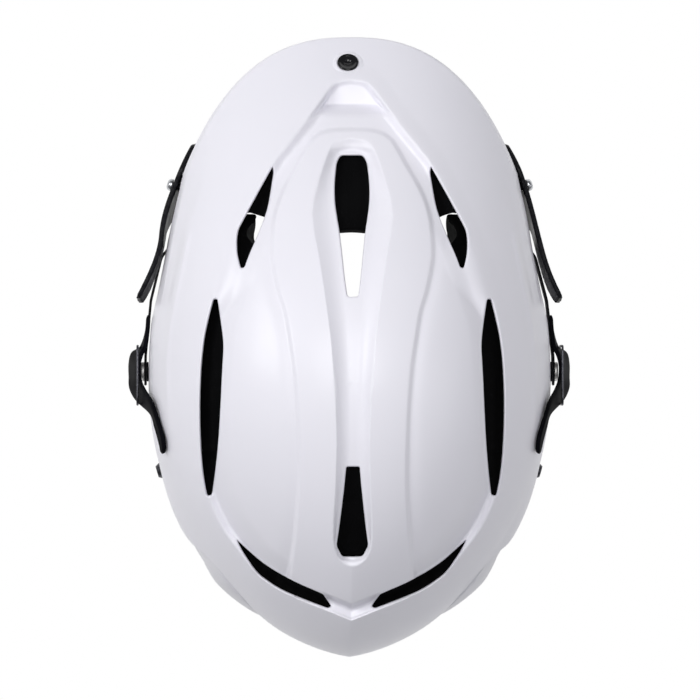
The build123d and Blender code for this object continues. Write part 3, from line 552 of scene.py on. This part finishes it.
def wall_skin(outer, inner, quads, rim, bulge):
    """Points and faces of the wall, with a half round along its rim from the outside to the inside."""
    total = len(outer)
    ring = np.unique(rim)
    order = np.full(total, -1)
    order[ring] = np.arange(len(ring))
    middle = (outer[ring] + inner[ring]) / 2
    half = (outer[ring] - inner[ring]) / 2
    layers = [outer, inner]
    loops = [ring]
    for k, angle in enumerate((20, 45, 70, 90, 110, 135, 160)):
        turn = radians(angle)
        layers.append(middle + half * cos(turn) + bulge[ring] * (LIP * sin(turn)))
        loops.append(2 * total + k * len(ring) + np.arange(len(ring)))
    loops.append(ring + total)
    start, end = order[rim[:, 0]], order[rim[:, 1]]
    faces = [quads, quads[:, ::-1] + total]
    for upper, lower in zip(loops, loops[1:]):
        faces.append(np.stack([upper[end], upper[start], lower[start], lower[end]], axis=-1))
    return np.vstack(layers), np.vstack(faces)


def make_shell(around, rows):
    """The shell: its form with openings and relief, a wall inside it, and rounded edges."""
    grid, normal = shell_surface(around, rows)
    points = grid.reshape(-1, 3).copy()
    normals = normal.reshape(-1, 3).copy()
    number = np.arange(len(points)).reshape(rows, -1)
    right = np.roll(number, -1, axis=1)
    quads = np.stack([number[:-1], right[:-1], right[1:], number[1:]], axis=-1).reshape(-1, 4)
    quads, away, inward = cut_openings(points, quads, ABOVE, VENTS)
    quads, _, inward_beside = cut_openings(points, quads, BESIDE, EAR_SLOTS)
    inward += inward_beside
    points[:, 2] += relief(points[:, 0], points[:, 1], points[:, 2], normals[:, 2])
    shape_sides(points)
    ways = wall_ways(normals, away)

    used, quads = np.unique(quads, return_inverse=True)
    quads = quads.reshape(-1, 4)
    outer, normals, inward, ways = points[used], normals[used], inward[used], ways[used]
    rim = border(quads)
    bulge = rim_bulge(outer, normals, inward, rim)
    return new_mesh("shell_body", *wall_skin(outer, outer - ways * WALL, quads, rim, bulge))


# Materials

def new_material(name, colour, roughness, metallic=0.0, coat=0.0, specular=0.5, ior=1.5, sheen=0.0):
    """A material with its constant values on the shader, its node tree and its shader."""
    material = bpy.data.materials.new(name)
    material.use_nodes = True
    tree = material.node_tree
    shader = tree.nodes["Principled BSDF"]
    shader.inputs["Base Color"].default_value = (*colour, 1)
    shader.inputs["Roughness"].default_value = roughness
    shader.inputs["Metallic"].default_value = metallic
    shader.inputs["Coat Weight"].default_value = coat
    shader.inputs["Coat Roughness"].default_value = 0.2
    shader.inputs["Specular IOR Level"].default_value = specular
    shader.inputs["IOR"].default_value = ior
    shader.inputs["Sheen Weight"].default_value = sheen
    shader.inputs["Sheen Roughness"].default_value = 0.4
    return material, tree, shader


def object_space(tree, scale=(1, 1, 1), turn=(0, 0, 0)):
    """Object coordinates, scaled and turned."""
    where = tree.nodes.new("ShaderNodeTexCoord")
    mapping = tree.nodes.new("ShaderNodeMapping")
    mapping.inputs["Scale"].default_value = scale
    mapping.inputs["Rotation"].default_value = turn
    tree.links.new(where.outputs["Object"], mapping.inputs["Vector"])
    return mapping.outputs["Vector"]


def noise(tree, scale, detail, vector=None):
    """Noise over object coordinates, or over the vector that is given."""
    texture = tree.nodes.new("ShaderNodeTexNoise")
    texture.inputs["Scale"].default_value = scale
    texture.inputs["Detail"].default_value = detail
    texture.inputs["Roughness"].default_value = 0.5
    tree.links.new(object_space(tree) if vector is None else vector, texture.inputs["Vector"])
    return texture.outputs["Fac"]


def ramp(tree, value, low, high):
    """Two colours or greys, blended over the middle of the value's range."""
    node = tree.nodes.new("ShaderNodeValToRGB")
    for element, position, colour in zip(node.color_ramp.elements, (0.35, 0.65), (low, high)):
        element.position = position
        colour = (colour,) * 3 if isinstance(colour, (int, float)) else colour
        element.color = (*colour, 1)
    tree.links.new(value, node.inputs["Fac"])
    return node.outputs["Color"]


def bump(tree, shader, value, depth, strength=1.0, under=None):
    """Bumps of the given depth in millimetres."""
    node = tree.nodes.new("ShaderNodeBump")
    node.inputs["Strength"].default_value = strength
    node.inputs["Distance"].default_value = depth * MM
    tree.links.new(value, node.inputs["Height"])
    if under is not None:
        tree.links.new(under, node.inputs["Normal"])
    tree.links.new(node.outputs["Normal"], shader.inputs["Normal"])
    return node.outputs["Normal"]


def maths(tree, operation, a, b):
    """The two values added, multiplied or compared."""
    node = tree.nodes.new("ShaderNodeMath")
    node.operation = operation
    tree.links.new(a, node.inputs[0])
    tree.links.new(b, node.inputs[1])
    return node.outputs["Value"]


def moulded(name, colour, shade, roughness, spread, grain, depth, coat=0.0, specular=0.5, ior=1.45):
    """Moulded plastic: slow colour variation, uneven gloss and a fine grain."""
    material, tree, shader = new_material(name, colour, roughness, coat=coat, specular=specular, ior=ior)
    slow = noise(tree, 22, 2)
    tree.links.new(ramp(tree, slow, shade, colour), shader.inputs["Base Color"])
    cloudy = noise(tree, 70, 4)
    tree.links.new(ramp(tree, cloudy, roughness - spread, roughness + spread), shader.inputs["Roughness"])
    bump(tree, shader, noise(tree, grain, 2), depth)
    return material


def metal(name, colour, shade, roughness, stretch):
    """Drawn or turned metal with fine streaks along one way."""
    material, tree, shader = new_material(name, colour, roughness, metallic=1.0)
    streaks = noise(tree, 1.0, 3, object_space(tree, stretch))
    tree.links.new(ramp(tree, streaks, shade, colour), shader.inputs["Base Color"])
    tree.links.new(ramp(tree, streaks, roughness + 0.08, roughness - 0.06), shader.inputs["Roughness"])
    bump(tree, shader, streaks, 0.02)
    return material


def knitted(name, colour, shade, scale, depth, sheen, specular):
    """Knitted or woven cloth: small staggered loops, with sheen and a slow change of shade."""
    material, tree, shader = new_material(name, colour, 0.9, specular=specular, sheen=sheen)
    rows = []
    for turn in ((0, 0, 0), (0, 0, pi / 2), (pi / 2, 0, 0)):
        wave = tree.nodes.new("ShaderNodeTexWave")
        wave.inputs["Scale"].default_value = scale
        wave.inputs["Distortion"].default_value = 0.6
        wave.inputs["Detail"].default_value = 1.0
        tree.links.new(object_space(tree, turn=turn), wave.inputs["Vector"])
        rows.append(wave.outputs["Fac"])
    loops = maths(tree, "ADD", maths(tree, "MULTIPLY", rows[0], rows[1]), rows[2])
    slow = noise(tree, 45, 3)
    tree.links.new(ramp(tree, slow, shade, colour), shader.inputs["Base Color"])
    under = bump(tree, shader, noise(tree, 160, 3), depth * 2, 0.4)
    bump(tree, shader, loops, depth, 0.8, under)
    return material


WHITE = moulded("white_plastic", (0.850, 0.840, 0.900), (0.843, 0.834, 0.894), roughness=0.40,
                spread=0.015, grain=520, depth=0.004, coat=0.16, specular=0.36)
NAPE_WHITE = moulded("grey_white_plastic", (0.76, 0.752, 0.80), (0.74, 0.733, 0.785), roughness=0.38,
                     spread=0.02, grain=900, depth=0.01)
BLACK = moulded("black_plastic", (0.009, 0.009, 0.011), (0.006, 0.006, 0.008), roughness=0.42,
                spread=0.08, grain=1500, depth=0.04, ior=1.22)
BLACK_SMOOTH = moulded("black_plastic_smooth", (0.007, 0.007, 0.008), (0.005, 0.005, 0.006),
                       roughness=0.30, spread=0.06, grain=700, depth=0.02)
BLACK_GLOSS = moulded("black_oxide", (0.006, 0.006, 0.007), (0.004, 0.004, 0.005), roughness=0.14,
                      spread=0.04, grain=1200, depth=0.01)
ARM_BLACK = moulded("arm_plastic", (0.005, 0.005, 0.007), (0.004, 0.004, 0.005), roughness=0.42,
                    spread=0.05, grain=1500, depth=0.02, ior=1.04)
STEEL = metal("steel_wire", (0.60, 0.61, 0.63), (0.50, 0.51, 0.53), 0.30, (900, 900, 120))
NICKEL = metal("nickel", (0.88, 0.87, 0.85), (0.78, 0.77, 0.75), 0.55, (300, 2400, 2400))
DARK_STEEL = metal("dark_steel", (0.10, 0.10, 0.11), (0.06, 0.06, 0.07), 0.32, (1200, 1200, 300))
COVER = knitted("pad_cover", (0.0022, 0.0022, 0.0025), (0.0012, 0.0012, 0.0015), scale=45.45,
                depth=0.25, sheen=0.03, specular=0.06)
WEBBING = knitted("webbing", (0.008, 0.008, 0.009), (0.005, 0.005, 0.006), scale=35.71,
                  depth=0.3, sheen=0.2, specular=0.2)


def paint(piece, material):
    """Give the piece one material."""
    piece.data.materials.clear()
    piece.data.materials.append(material)


def dressed(piece, body, slot, material, *replaced):
    """Paint a piece, let it ride on a body, and hide the CAD nodes that it stands for."""
    paint(piece, material)
    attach(piece, body)
    if replaced:
        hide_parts(*replaced)
    return piece


# Ways of making pieces

def settled(piece):
    """The piece with its modifiers applied and smooth shading."""
    depsgraph = bpy.context.evaluated_depsgraph_get()
    mesh = bpy.data.meshes.new_from_object(piece.evaluated_get(depsgraph))
    piece.modifiers.clear()
    piece.data = mesh
    mesh.polygons.foreach_set("use_smooth", np.ones(len(mesh.polygons), bool))
    return piece


def coordinates(mesh):
    """The mesh's points in millimetres."""
    points = np.empty(len(mesh.vertices) * 3)
    mesh.vertices.foreach_get("co", points)
    return points.reshape(-1, 3) / MM


def point_normals(mesh):
    """The normal at each point of the mesh."""
    return np.array([vertex.normal[:] for vertex in mesh.vertices])


def set_coordinates(mesh, points):
    """Move the mesh's points to places in millimetres."""
    mesh.vertices.foreach_set("co", (points * MM).ravel())
    mesh.update()


def node_copy(name, *names):
    """A new object with the meshes of one or more CAD nodes."""
    points = []
    tris = []
    start = 0
    for node in names:
        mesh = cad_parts[node].data
        points.append(coordinates(mesh))
        for face in mesh.polygons:
            corners = [start + corner for corner in face.vertices]
            tris += [(corners[0], corners[k], corners[k + 1]) for k in range(1, len(corners) - 1)]
        start += len(mesh.vertices)
    return new_mesh(name, np.vstack(points), [], tris)


def softened(name, voxel, passes, *names):
    """A copy of CAD nodes with every edge and inner corner rounded a little."""
    piece = node_copy(name, *names)
    remesh = piece.modifiers.new("remesh", "REMESH")
    remesh.mode = "VOXEL"
    remesh.voxel_size = voxel * MM
    smooth = piece.modifiers.new("smooth", "SMOOTH")
    smooth.factor = 0.5
    smooth.iterations = passes
    return settled(piece)


def loft(name, rings, joined=False):
    """A skin over rings of points; its ends are closed, or joined to each other."""
    rings = np.asarray(rings, float)
    count, size = rings.shape[:2]
    number = np.arange(count * size).reshape(count, size)
    upper = np.roll(number, -1, axis=0)
    if not joined:
        number, upper = number[:-1], upper[:-1]
    quads = np.stack([number, np.roll(number, -1, axis=1), np.roll(upper, -1, axis=1), upper], axis=-1)
    points = rings.reshape(-1, 3)
    tris = []
    if not joined:
        points = np.vstack([points, rings[0].mean(axis=0), rings[-1].mean(axis=0)])
        last = (count - 1) * size
        for k in range(size):
            after = (k + 1) % size
            tris.append((after, k, count * size))
            tris.append((last + k, last + after, count * size + 1))
    piece = new_mesh(name, points, quads, tris)
    corner = points[quads.reshape(-1, 4)] - points.mean(axis=0)
    volume = np.einsum("ij,ij->i", np.cross(corner[:, 0], corner[:, 1]), corner[:, 2]).sum()
    if volume < 0:
        piece.data.flip_normals()
    return piece


def lathe(name, profile, origin, axis, steps=64):
    """A turned form from a profile of radius and place along its axis."""
    axis = Vector(axis).normalized()
    side = axis.orthogonal().normalized()
    other = axis.cross(side)
    rings = []
    for radius, along in profile:
        ring = []
        for step in range(steps):
            turn = 2 * pi * step / steps
            spoke = side * cos(turn) + other * sin(turn)
            ring.append(Vector(origin) + axis * along + spoke * max(radius, 0.01))
        rings.append(ring)
    return loft(name, rings)


def tube(name, path, radius, up, closed=False, sides=14):
    """A round wire along a path; its open ends are rounded."""
    path = np.asarray(path, float)
    if closed:
        along = np.roll(path, -1, axis=0) - np.roll(path, 1, axis=0)
    else:
        along = np.gradient(path, axis=0)
    along /= np.linalg.norm(along, axis=1, keepdims=True)
    across = np.cross(along, up)
    across /= np.linalg.norm(across, axis=1, keepdims=True)
    over = np.cross(across, along)
    turn = np.linspace(0, 2 * pi, sides, endpoint=False)

    def ring(k, shift, share):
        """A circle round the path's point k, shifted along it and drawn in to a share of the radius."""
        circle = np.cos(turn)[:, None] * across[k] + np.sin(turn)[:, None] * over[k]
        return path[k] + along[k] * shift * radius + circle * radius * share

    rings = [ring(k, 0, 1) for k in range(len(path))]
    if not closed:
        angles = [radians(angle) for angle in (85, 65, 40, 20)]
        rings = [ring(0, -sin(angle), cos(angle)) for angle in angles] + rings
        rings += [ring(-1, sin(angle), cos(angle)) for angle in reversed(angles)]
    return loft(name, rings, joined=closed)


def ribbon(name, upper, lower, wall, steps):
    """A band between two lines, with rounded edges and thinner ends."""
    upper, lower = bent(upper, steps), bent(lower, steps)
    middle = (upper + lower) / 2
    across = upper - lower
    width = np.linalg.norm(across, axis=1, keepdims=True)
    across /= width
    out = np.cross(across, np.gradient(middle, axis=0))
    out /= np.linalg.norm(out, axis=1, keepdims=True)
    places = np.linspace(-0.5, 0.5, 13)
    section = [(u, 0.5) for u in places] + [(u, -0.5) for u in places[::-1]]
    rings = []
    for k in range(len(middle)):
        from_end = min(k, len(middle) - 1 - k)
        share = 1 - 0.6 * (1 - min(from_end / 3, 1)) ** 2
        narrow = 1 if share > 0.99 else 0.9 + 0.1 * share
        ring = []
        for u, v in section:
            edge = sqrt(max(0, 1 - (2 * abs(u)) ** 8))
            thick = wall * v * (0.35 + 0.65 * edge) * share
            ring.append(middle[k] + across[k] * width[k] * u * narrow + out[k] * thick)
        rings.append(ring)
    return loft(name, rings)


def on_shell(x, y, away):
    """A place on the shell's form above its widest level, moved out along the form's normal."""
    step = 0.25
    z = float(height(x, y))
    lean_x = float(height(x + step, y) - height(x - step, y)) / (2 * step)
    lean_y = float(height(x, y + step) - height(x, y - step)) / (2 * step)
    normal = np.array([-lean_x, -lean_y, 1]) / sqrt(1 + lean_x ** 2 + lean_y ** 2)
    return np.array([x, y, z]) + normal * away


def swapped(piece, name):
    """The mirror image of a piece, on the wearer's right."""
    points = coordinates(piece.data) * (-1, 1, 1)
    mesh = piece.data.copy()
    set_coordinates(mesh, points)
    mesh.flip_normals()
    other = bpy.data.objects.new(name, mesh)
    bpy.context.scene.collection.objects.link(other)
    return other


def pair(piece, name, bodies, slot, material, node=None):
    """Dress a left piece and its mirror image."""
    other = swapped(piece, "right_" + name)
    for side, half, body in (("left", piece, bodies[0]), ("right", other, bodies[1])):
        half.name = side + "_" + name
        replaced = () if node is None else (side + "_" + node,)
        dressed(half, body, slot, material, *replaced)


BOTH = ("helmet", "helmet")


# Shell and guards

dressed(make_shell(around=470, rows=330), "helmet", "shell", WHITE, "shell")
dressed(softened("chin_guard_body", 0.8, 3, "chin_guard"), "helmet", "guard", BLACK, "chin_guard")


# How far the nape guard's upper corners are tucked in: places along the helmet, and distances
TUCK_Y = [60, 85, 112, 126]
TUCK = [0, 2.8, 2.8, 0]


def make_nape_guard():
    """The nape guard, with its upper corners tucked in under the shell."""
    nape = softened("nape_guard_body", 0.8, 3, "nape_guard")
    points = coordinates(nape.data)
    y, z = points[:, 1], points[:, 2]
    tuck = np.interp(y, TUCK_Y, TUCK) * smooth_step((z - 88) / 14)
    points[:, 0] -= tuck * np.sign(points[:, 0])
    set_coordinates(nape.data, points)
    dressed(nape, "helmet", "shell", NAPE_WHITE, "nape_guard")


make_nape_guard()


# Face mask, its wires joined into one piece where they cross

MASK_BARS = ("brow_bar", "eye_bar", "middle_bar", "lower_bar", "chin_bar")
UPRIGHTS = ("left_inner_upright", "right_inner_upright", "left_outer_upright", "right_outer_upright")
mask = softened("face_mask", 0.55, 2, *MASK_BARS, *UPRIGHTS)
dressed(mask, "helmet", "wire", STEEL, *MASK_BARS, *UPRIGHTS)


# Clips, screws and press studs; a turned profile is radius and place along the axis

def make_brow_screw():
    """The dished head in the brim, and the low rim of the shell round it."""
    seat_x, seat_y = 1.6, -152.7
    seat = on_shell(seat_x, seat_y, 0.3)
    axis = on_shell(seat_x, seat_y, 1.3) - seat
    head = lathe("brow_screw_head", [
        (0, -6), (2.4, -6), (2.5, -1), (5.2, -0.9), (5.5, -0.3), (5.6, 0.5), (5.5, 0.95),
        (5.2, 1.15), (4.8, 1.1), (4.2, 0.75), (3.5, 0.45), (2.7, 0.3), (2.3, 0.3), (2.1, 0.15),
        (2.0, -0.15), (0, -0.2),
    ], seat, axis)
    dressed(head, "helmet", "screw", BLACK_GLOSS, "brow_screw")
    rim = lathe("brow_screw_rim", [
        (5.7, -1.4), (5.7, -0.1), (5.9, 0.25), (6.3, 0.35), (6.9, 0.2), (8.2, -0.35), (9.2, -0.9),
        (9.2, -1.4),
    ], seat, axis)
    dressed(rim, "helmet", "shell", WHITE)


def make_mask_screws():
    """A domed steel head on each side, where the mask clips are screwed on."""
    left = lathe("left_mask_screw", [
        (0, -12), (2, -12), (2, -0.2), (3.1, -0.2), (3.25, 0.4), (3.15, 1.3), (2.8, 2.0),
        (2.2, 2.5), (1.5, 2.75), (1.2, 2.7), (1.1, 1.6), (0, 1.5),
    ], (95.7, -88, 121), (1, -0.28, 0))
    right = swapped(left, "right_mask_screw")
    dressed(left, "helmet", "screw", STEEL, "mask_screws")
    dressed(right, "helmet", "screw", STEEL)


def make_press_studs():
    """A bright cap over a black washer."""
    stud = (108.4, 12.5, 106.0)
    outwards = (1, 0, 0)
    cap = lathe("left_snap_cap", [
        (0, -4.4), (2.3, -4.4), (2.3, 2.1), (5.0, 2.2), (5.15, 2.4), (5.15, 3.7), (4.95, 4.1),
        (4.4, 4.3), (3.7, 4.2), (3.3, 3.7), (2.6, 3.5), (1.2, 3.6), (0, 3.6),
    ], stud, outwards)
    pair(cap, "snap_cap", BOTH, "stud", NICKEL, "snap_stud")
    washer = lathe("left_snap_washer", [
        (2.5, 0.1), (5.0, 0.1), (5.3, 0.3), (5.3, 0.8), (5.0, 1.0), (2.5, 1.0),
    ], stud, outwards)
    pair(washer, "snap_washer", BOTH, "stud", BLACK)


make_brow_screw()
dressed(softened("brow_clip_body", 0.4, 2, "brow_clip"), "helmet", "clip", BLACK, "brow_clip")
mask_clip = softened("left_mask_clip_body", 0.4, 2, "left_mask_clip")
pair(mask_clip, "mask_clip_body", BOTH, "clip", BLACK, "mask_clip")
make_mask_screws()
nape_screws = softened("nape_screw_bodies", 0.25, 2, "nape_screws")
dressed(nape_screws, "helmet", "screw", DARK_STEEL, "nape_screws")
make_press_studs()


# Strap arms and the wire loops round their bows

ARM_WALL = 2.4
ARM_LIFT = ARM_WALL / 2 + 0.7    # from the shell to the middle of the band's thickness


def make_strap_arms():
    """A strip from the guard's corner, a leaning bow round the stud, and a finger back along the shell."""
    upper = [(108.4, -18, 118.5), (109.0, -9, 118.8), (109.9, -1, 119.5), (111.8, 3.2, 120),
             (113.2, 9, 121), (112.8, 16, 124), (110.4, 21.5, 133)]
    for x, y in ((104.2, 28.5), (101.6, 37.3), (98.6, 46.6), (97.9, 52), (98.1, 55.4)):
        upper.append(on_shell(x, y, ARM_LIFT))
    lower = [(108.6, -18, 111.5), (109.4, -9, 111), (112.6, -0.5, 105), (117.4, 2.6, 98),
             (118.8, 8, 95), (118.8, 15, 96), (118.6, 21.5, 104), (115, 28, 118)]
    for x, y in ((105.2, 34.5), (102.8, 41.5), (100.6, 49), (99.0, 56.0)):
        lower.append(on_shell(x, y, ARM_LIFT))
    arm = ribbon("left_arm_band", upper, lower, ARM_WALL, steps=10)
    pair(arm, "arm_band", BOTH, "arm", ARM_BLACK, "strap_arm")


def make_wire_loops():
    """A thin closed wire round each bow."""
    loop_x = 114.4
    corners = [(-1.4, 90), (30.2, 90), (30.2, 131.5), (-1.4, 131.5)]
    path = [(loop_x, y, z) for y, z in rounded(corners, 4)]
    loop = tube("left_wire_loop", path, 0.6, (1, 0, 0), closed=True)
    pair(loop, "wire_loop", ("left_buckle", "right_buckle"), "buckle", DARK_STEEL, "buckle_wire")


make_strap_arms()
make_wire_loops()


# Chin strap, cup, sliders and fit cradle

pair(softened("left_strap_webbing", 0.45, 2, "left_chin_strap"), "strap_webbing",
     ("chin_strap", "chin_strap"), "webbing", WEBBING, "chin_strap")
pair(softened("left_slider_body", 0.4, 2, "left_strap_slider"), "slider_body",
     ("left_slider", "right_slider"), "slider", BLACK_SMOOTH, "strap_slider")
dressed(softened("chin_cup_body", 0.5, 4, "chin_cup"), "chin_strap", "cup", BLACK_SMOOTH, "chin_cup")
dressed(softened("fit_cradle_body", 0.5, 3, "fit_cradle"), "cradle", "cradle", BLACK, "fit_cradle")


# Padding

SEAM_WIDTH = 3.0       # how far from a sewn line the cover is drawn in


def reshaped(points, node):
    """The points of a pad, moved so that its cover fills the vents as far as the photograph shows.

    The front cover's outer corners draw forward and widen. A side cover reaches further back, and its
    front end turns inwards behind the brow vent."""
    x, y = np.abs(points[:, 0]), points[:, 1].copy()
    side = np.sign(points[:, 0])
    if node == "front_pad":
        corner = smooth_step((x - 30) / 12)
        points[:, 1] += 0.5 * smooth_step((y + 80) / 14) - 0.33 * np.clip(y + 100, 0, None) * corner
        points[:, 0] += side * 5 * smooth_step((x - 36) / 10) * smooth_step((y + 78) / 14)
    if node.endswith("side_pad"):
        points[:, 1] += 3 * smooth_step((y - 55) / 25) * smooth_step((x - 55) / 10)
        points[:, 0] -= side * 8.5 * smooth_step((-61 - y) / 10)
        points[:, 0] -= side * 4 * smooth_step((y + 63) / 4) * smooth_step((-50 - y) / 6)
    return points


def under_shell(points):
    """The points, lowered where they would come nearer to the shell's inside than a small gap."""
    x, y, step = points[:, 0], points[:, 1], 0.5
    top = height(x, y)
    lean_x = (height(np.abs(x) + step, y) - height(np.abs(x) - step, y)) / (2 * step)
    lean_y = (height(x, y + step) - height(x, y - step)) / (2 * step)
    slope = 1 / np.sqrt(1 + lean_x ** 2 + lean_y ** 2)
    limit = top + relief(x, y, top, slope) - WALL / np.maximum(slope, 0.35) - 0.6
    points[:, 2] = np.where(top > SIDE + 12, np.minimum(points[:, 2], limit), points[:, 2])
    return points


def swell(piece, cap):
    """Blow the piece up with a cloth simulation, in which no point moves further than the cap."""
    frames = 20
    mesh = piece.data
    start = coordinates(mesh)
    cloth = piece.modifiers.new("cloth", "CLOTH")
    cloth.settings.use_pressure = True
    cloth.settings.uniform_pressure_force = 4
    cloth.settings.quality = 4
    cloth.settings.effector_weights.gravity = 0
    for step in range(1, frames + 1):
        bpy.context.scene.frame_set(step)
    depsgraph = bpy.context.evaluated_depsgraph_get()
    swollen = coordinates(piece.evaluated_get(depsgraph).data)
    piece.modifiers.clear()
    bpy.context.scene.frame_set(1)
    move = swollen - start
    length = np.maximum(np.linalg.norm(move, axis=1, keepdims=True), 1e-9)
    set_coordinates(mesh, start + move * np.minimum(1, cap / length))


def cushion(node, voxel, shrink, cap):
    """A pad's cover: its CAD form, first shrunk and then swollen, under the shell's inside."""
    piece = node_copy(node + "_cover", node)
    set_coordinates(piece.data, reshaped(coordinates(piece.data), node))
    remesh = piece.modifiers.new("remesh", "REMESH")
    remesh.mode = "VOXEL"
    remesh.voxel_size = voxel * MM
    settled(piece)
    mesh = piece.data
    set_coordinates(mesh, coordinates(mesh) - point_normals(mesh) * shrink)
    swell(piece, cap)
    set_coordinates(mesh, under_shell(coordinates(mesh)))
    piece.modifiers.new("subdivision", "SUBSURF").levels = 1
    return settled(piece)


def sewn(piece, lines, depth):
    """Draw the cover in along sewn lines; a line is an axis number and its places in millimetres."""
    mesh = piece.data
    points = coordinates(mesh)
    sink = np.zeros(len(points))
    for axis, seams in lines:
        for seam in seams:
            sink = np.maximum(sink, np.exp(-((points[:, axis] - seam) / SEAM_WIDTH) ** 2))
    set_coordinates(mesh, points - point_normals(mesh) * (sink * depth)[:, None])


PADS = {
    # node: voxel, shrink, cap, body, fill, depth of the sewn lines, sewn lines
    "front_pad": (3, 1.4, 1.4, "helmet", 0.7, 1.2, [(0, (-18, 18))]),
    "crown_pad": (4, 1.6, 1.5, "helmet", 0.7, 1.2, [(1, (0, 40, 80))]),
    "rear_pad": (4, 1.6, 1.5, "helmet", 0.7, 1.2, [(0, (-40, 0, 40))]),
    "left_side_pad": (3, 1.2, 1.2, "helmet", 0.7, 1.2, [(1, (-35, 10, 55))]),
    "right_side_pad": (3, 1.2, 1.2, "helmet", 0.7, 1.2, [(1, (-35, 10, 55))]),
    "left_jaw_pad": (3, 1.2, 1.2, "helmet", 0.8, 1.2, [(2, (83,))]),
    "right_jaw_pad": (3, 1.2, 1.2, "helmet", 0.8, 1.2, [(2, (83,))]),
    "cradle_pad": (2.5, 0.8, 0.8, "cradle", 0.6, 1.2, [(0, (-10, 10))]),
    "chin_cup_pad": (1.6, 0.5, 0.5, "chin_strap", 0.5, 0.5, [(0, (-12, 12))]),
}
for node, (voxel, shrink, cap, body, fill, depth, lines) in PADS.items():
    pad = cushion(node, voxel, shrink, cap)
    sewn(pad, lines, depth)
    dressed(pad, body, "pad", COVER, node)


# Floor, light and camera

def make_floor():
    """A pale floor that the camera and glossy surfaces see as white, and that still takes the light."""
    size = 6000
    corners = [(-size, -size, 0), (size, -size, 0), (size, size, 0), (-size, size, 0)]
    floor = new_mesh("floor", corners, [(0, 1, 2, 3)])
    material, tree, shader = new_material("floor_white", (0.9, 0.9, 0.9), 0.8, specular=0.1)
    glow = tree.nodes.new("ShaderNodeEmission")
    glow.inputs["Color"].default_value = (1, 1, 1, 1)
    rays = tree.nodes.new("ShaderNodeLightPath")
    mix = tree.nodes.new("ShaderNodeMixShader")
    seen_rays = maths(tree, "MAXIMUM", rays.outputs["Is Camera Ray"], rays.outputs["Is Glossy Ray"])
    tree.links.new(seen_rays, mix.inputs["Fac"])
    tree.links.new(shader.outputs["BSDF"], mix.inputs[1])
    tree.links.new(glow.outputs["Emission"], mix.inputs[2])
    tree.links.new(mix.outputs["Shader"], tree.nodes["Material Output"].inputs["Surface"])
    paint(floor, material)
    floor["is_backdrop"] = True


def make_world():
    """A weak, even light from all round."""
    world = bpy.data.worlds.new("studio")
    bpy.context.scene.world = world
    world.use_nodes = True
    background = world.node_tree.nodes["Background"]
    background.inputs["Color"].default_value = (0.93, 0.94, 1.0, 1)
    background.inputs["Strength"].default_value = 0.2


def softbox(name, at, size, power):
    """A square lamp, in metres and watts, turned towards the helmet."""
    lamp = bpy.data.lights.new(name, "AREA")
    lamp.shape = "RECTANGLE"
    lamp.size = size
    lamp.size_y = size
    lamp.energy = power
    piece = bpy.data.objects.new(name, lamp)
    piece.location = at
    piece.rotation_euler = (Vector((0, 0, 0.15)) - Vector(at)).to_track_quat("-Z", "Y").to_euler()
    bpy.context.scene.collection.objects.link(piece)


def make_camera():
    """The photograph's view: from above, leaning a little to one side, with the brim at the top."""
    tilt = radians(0.9)
    away = 5.5
    frame_width = 0.378
    aim = Vector((-0.00027, 0.0008, 0.110))
    camera = bpy.data.objects.new("camera", bpy.data.cameras.new("camera"))
    bpy.context.scene.collection.objects.link(camera)
    bpy.context.scene.camera = camera
    camera.location = aim + Vector((sin(tilt), 0, cos(tilt))) * away
    right = Vector((-cos(tilt), 0, sin(tilt)))
    up = Vector((0, -1, 0))
    camera.rotation_euler = Matrix((right, up, right.cross(up))).transposed().to_euler()
    camera.data.sensor_width = 36
    camera.data.lens = 36 * away / frame_width
    camera.data.clip_end = 50


make_floor()
make_world()
softbox("key", (2.0, -0.8, 2.0), size=1.2, power=31)
softbox("over", (0.1, -0.5, 2.6), size=1.3, power=32)
softbox("fill", (-1.9, 0.3, 1.6), size=1.2, power=5)
make_camera()

bpy.context.scene.view_settings.view_transform = "Standard"

low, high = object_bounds()
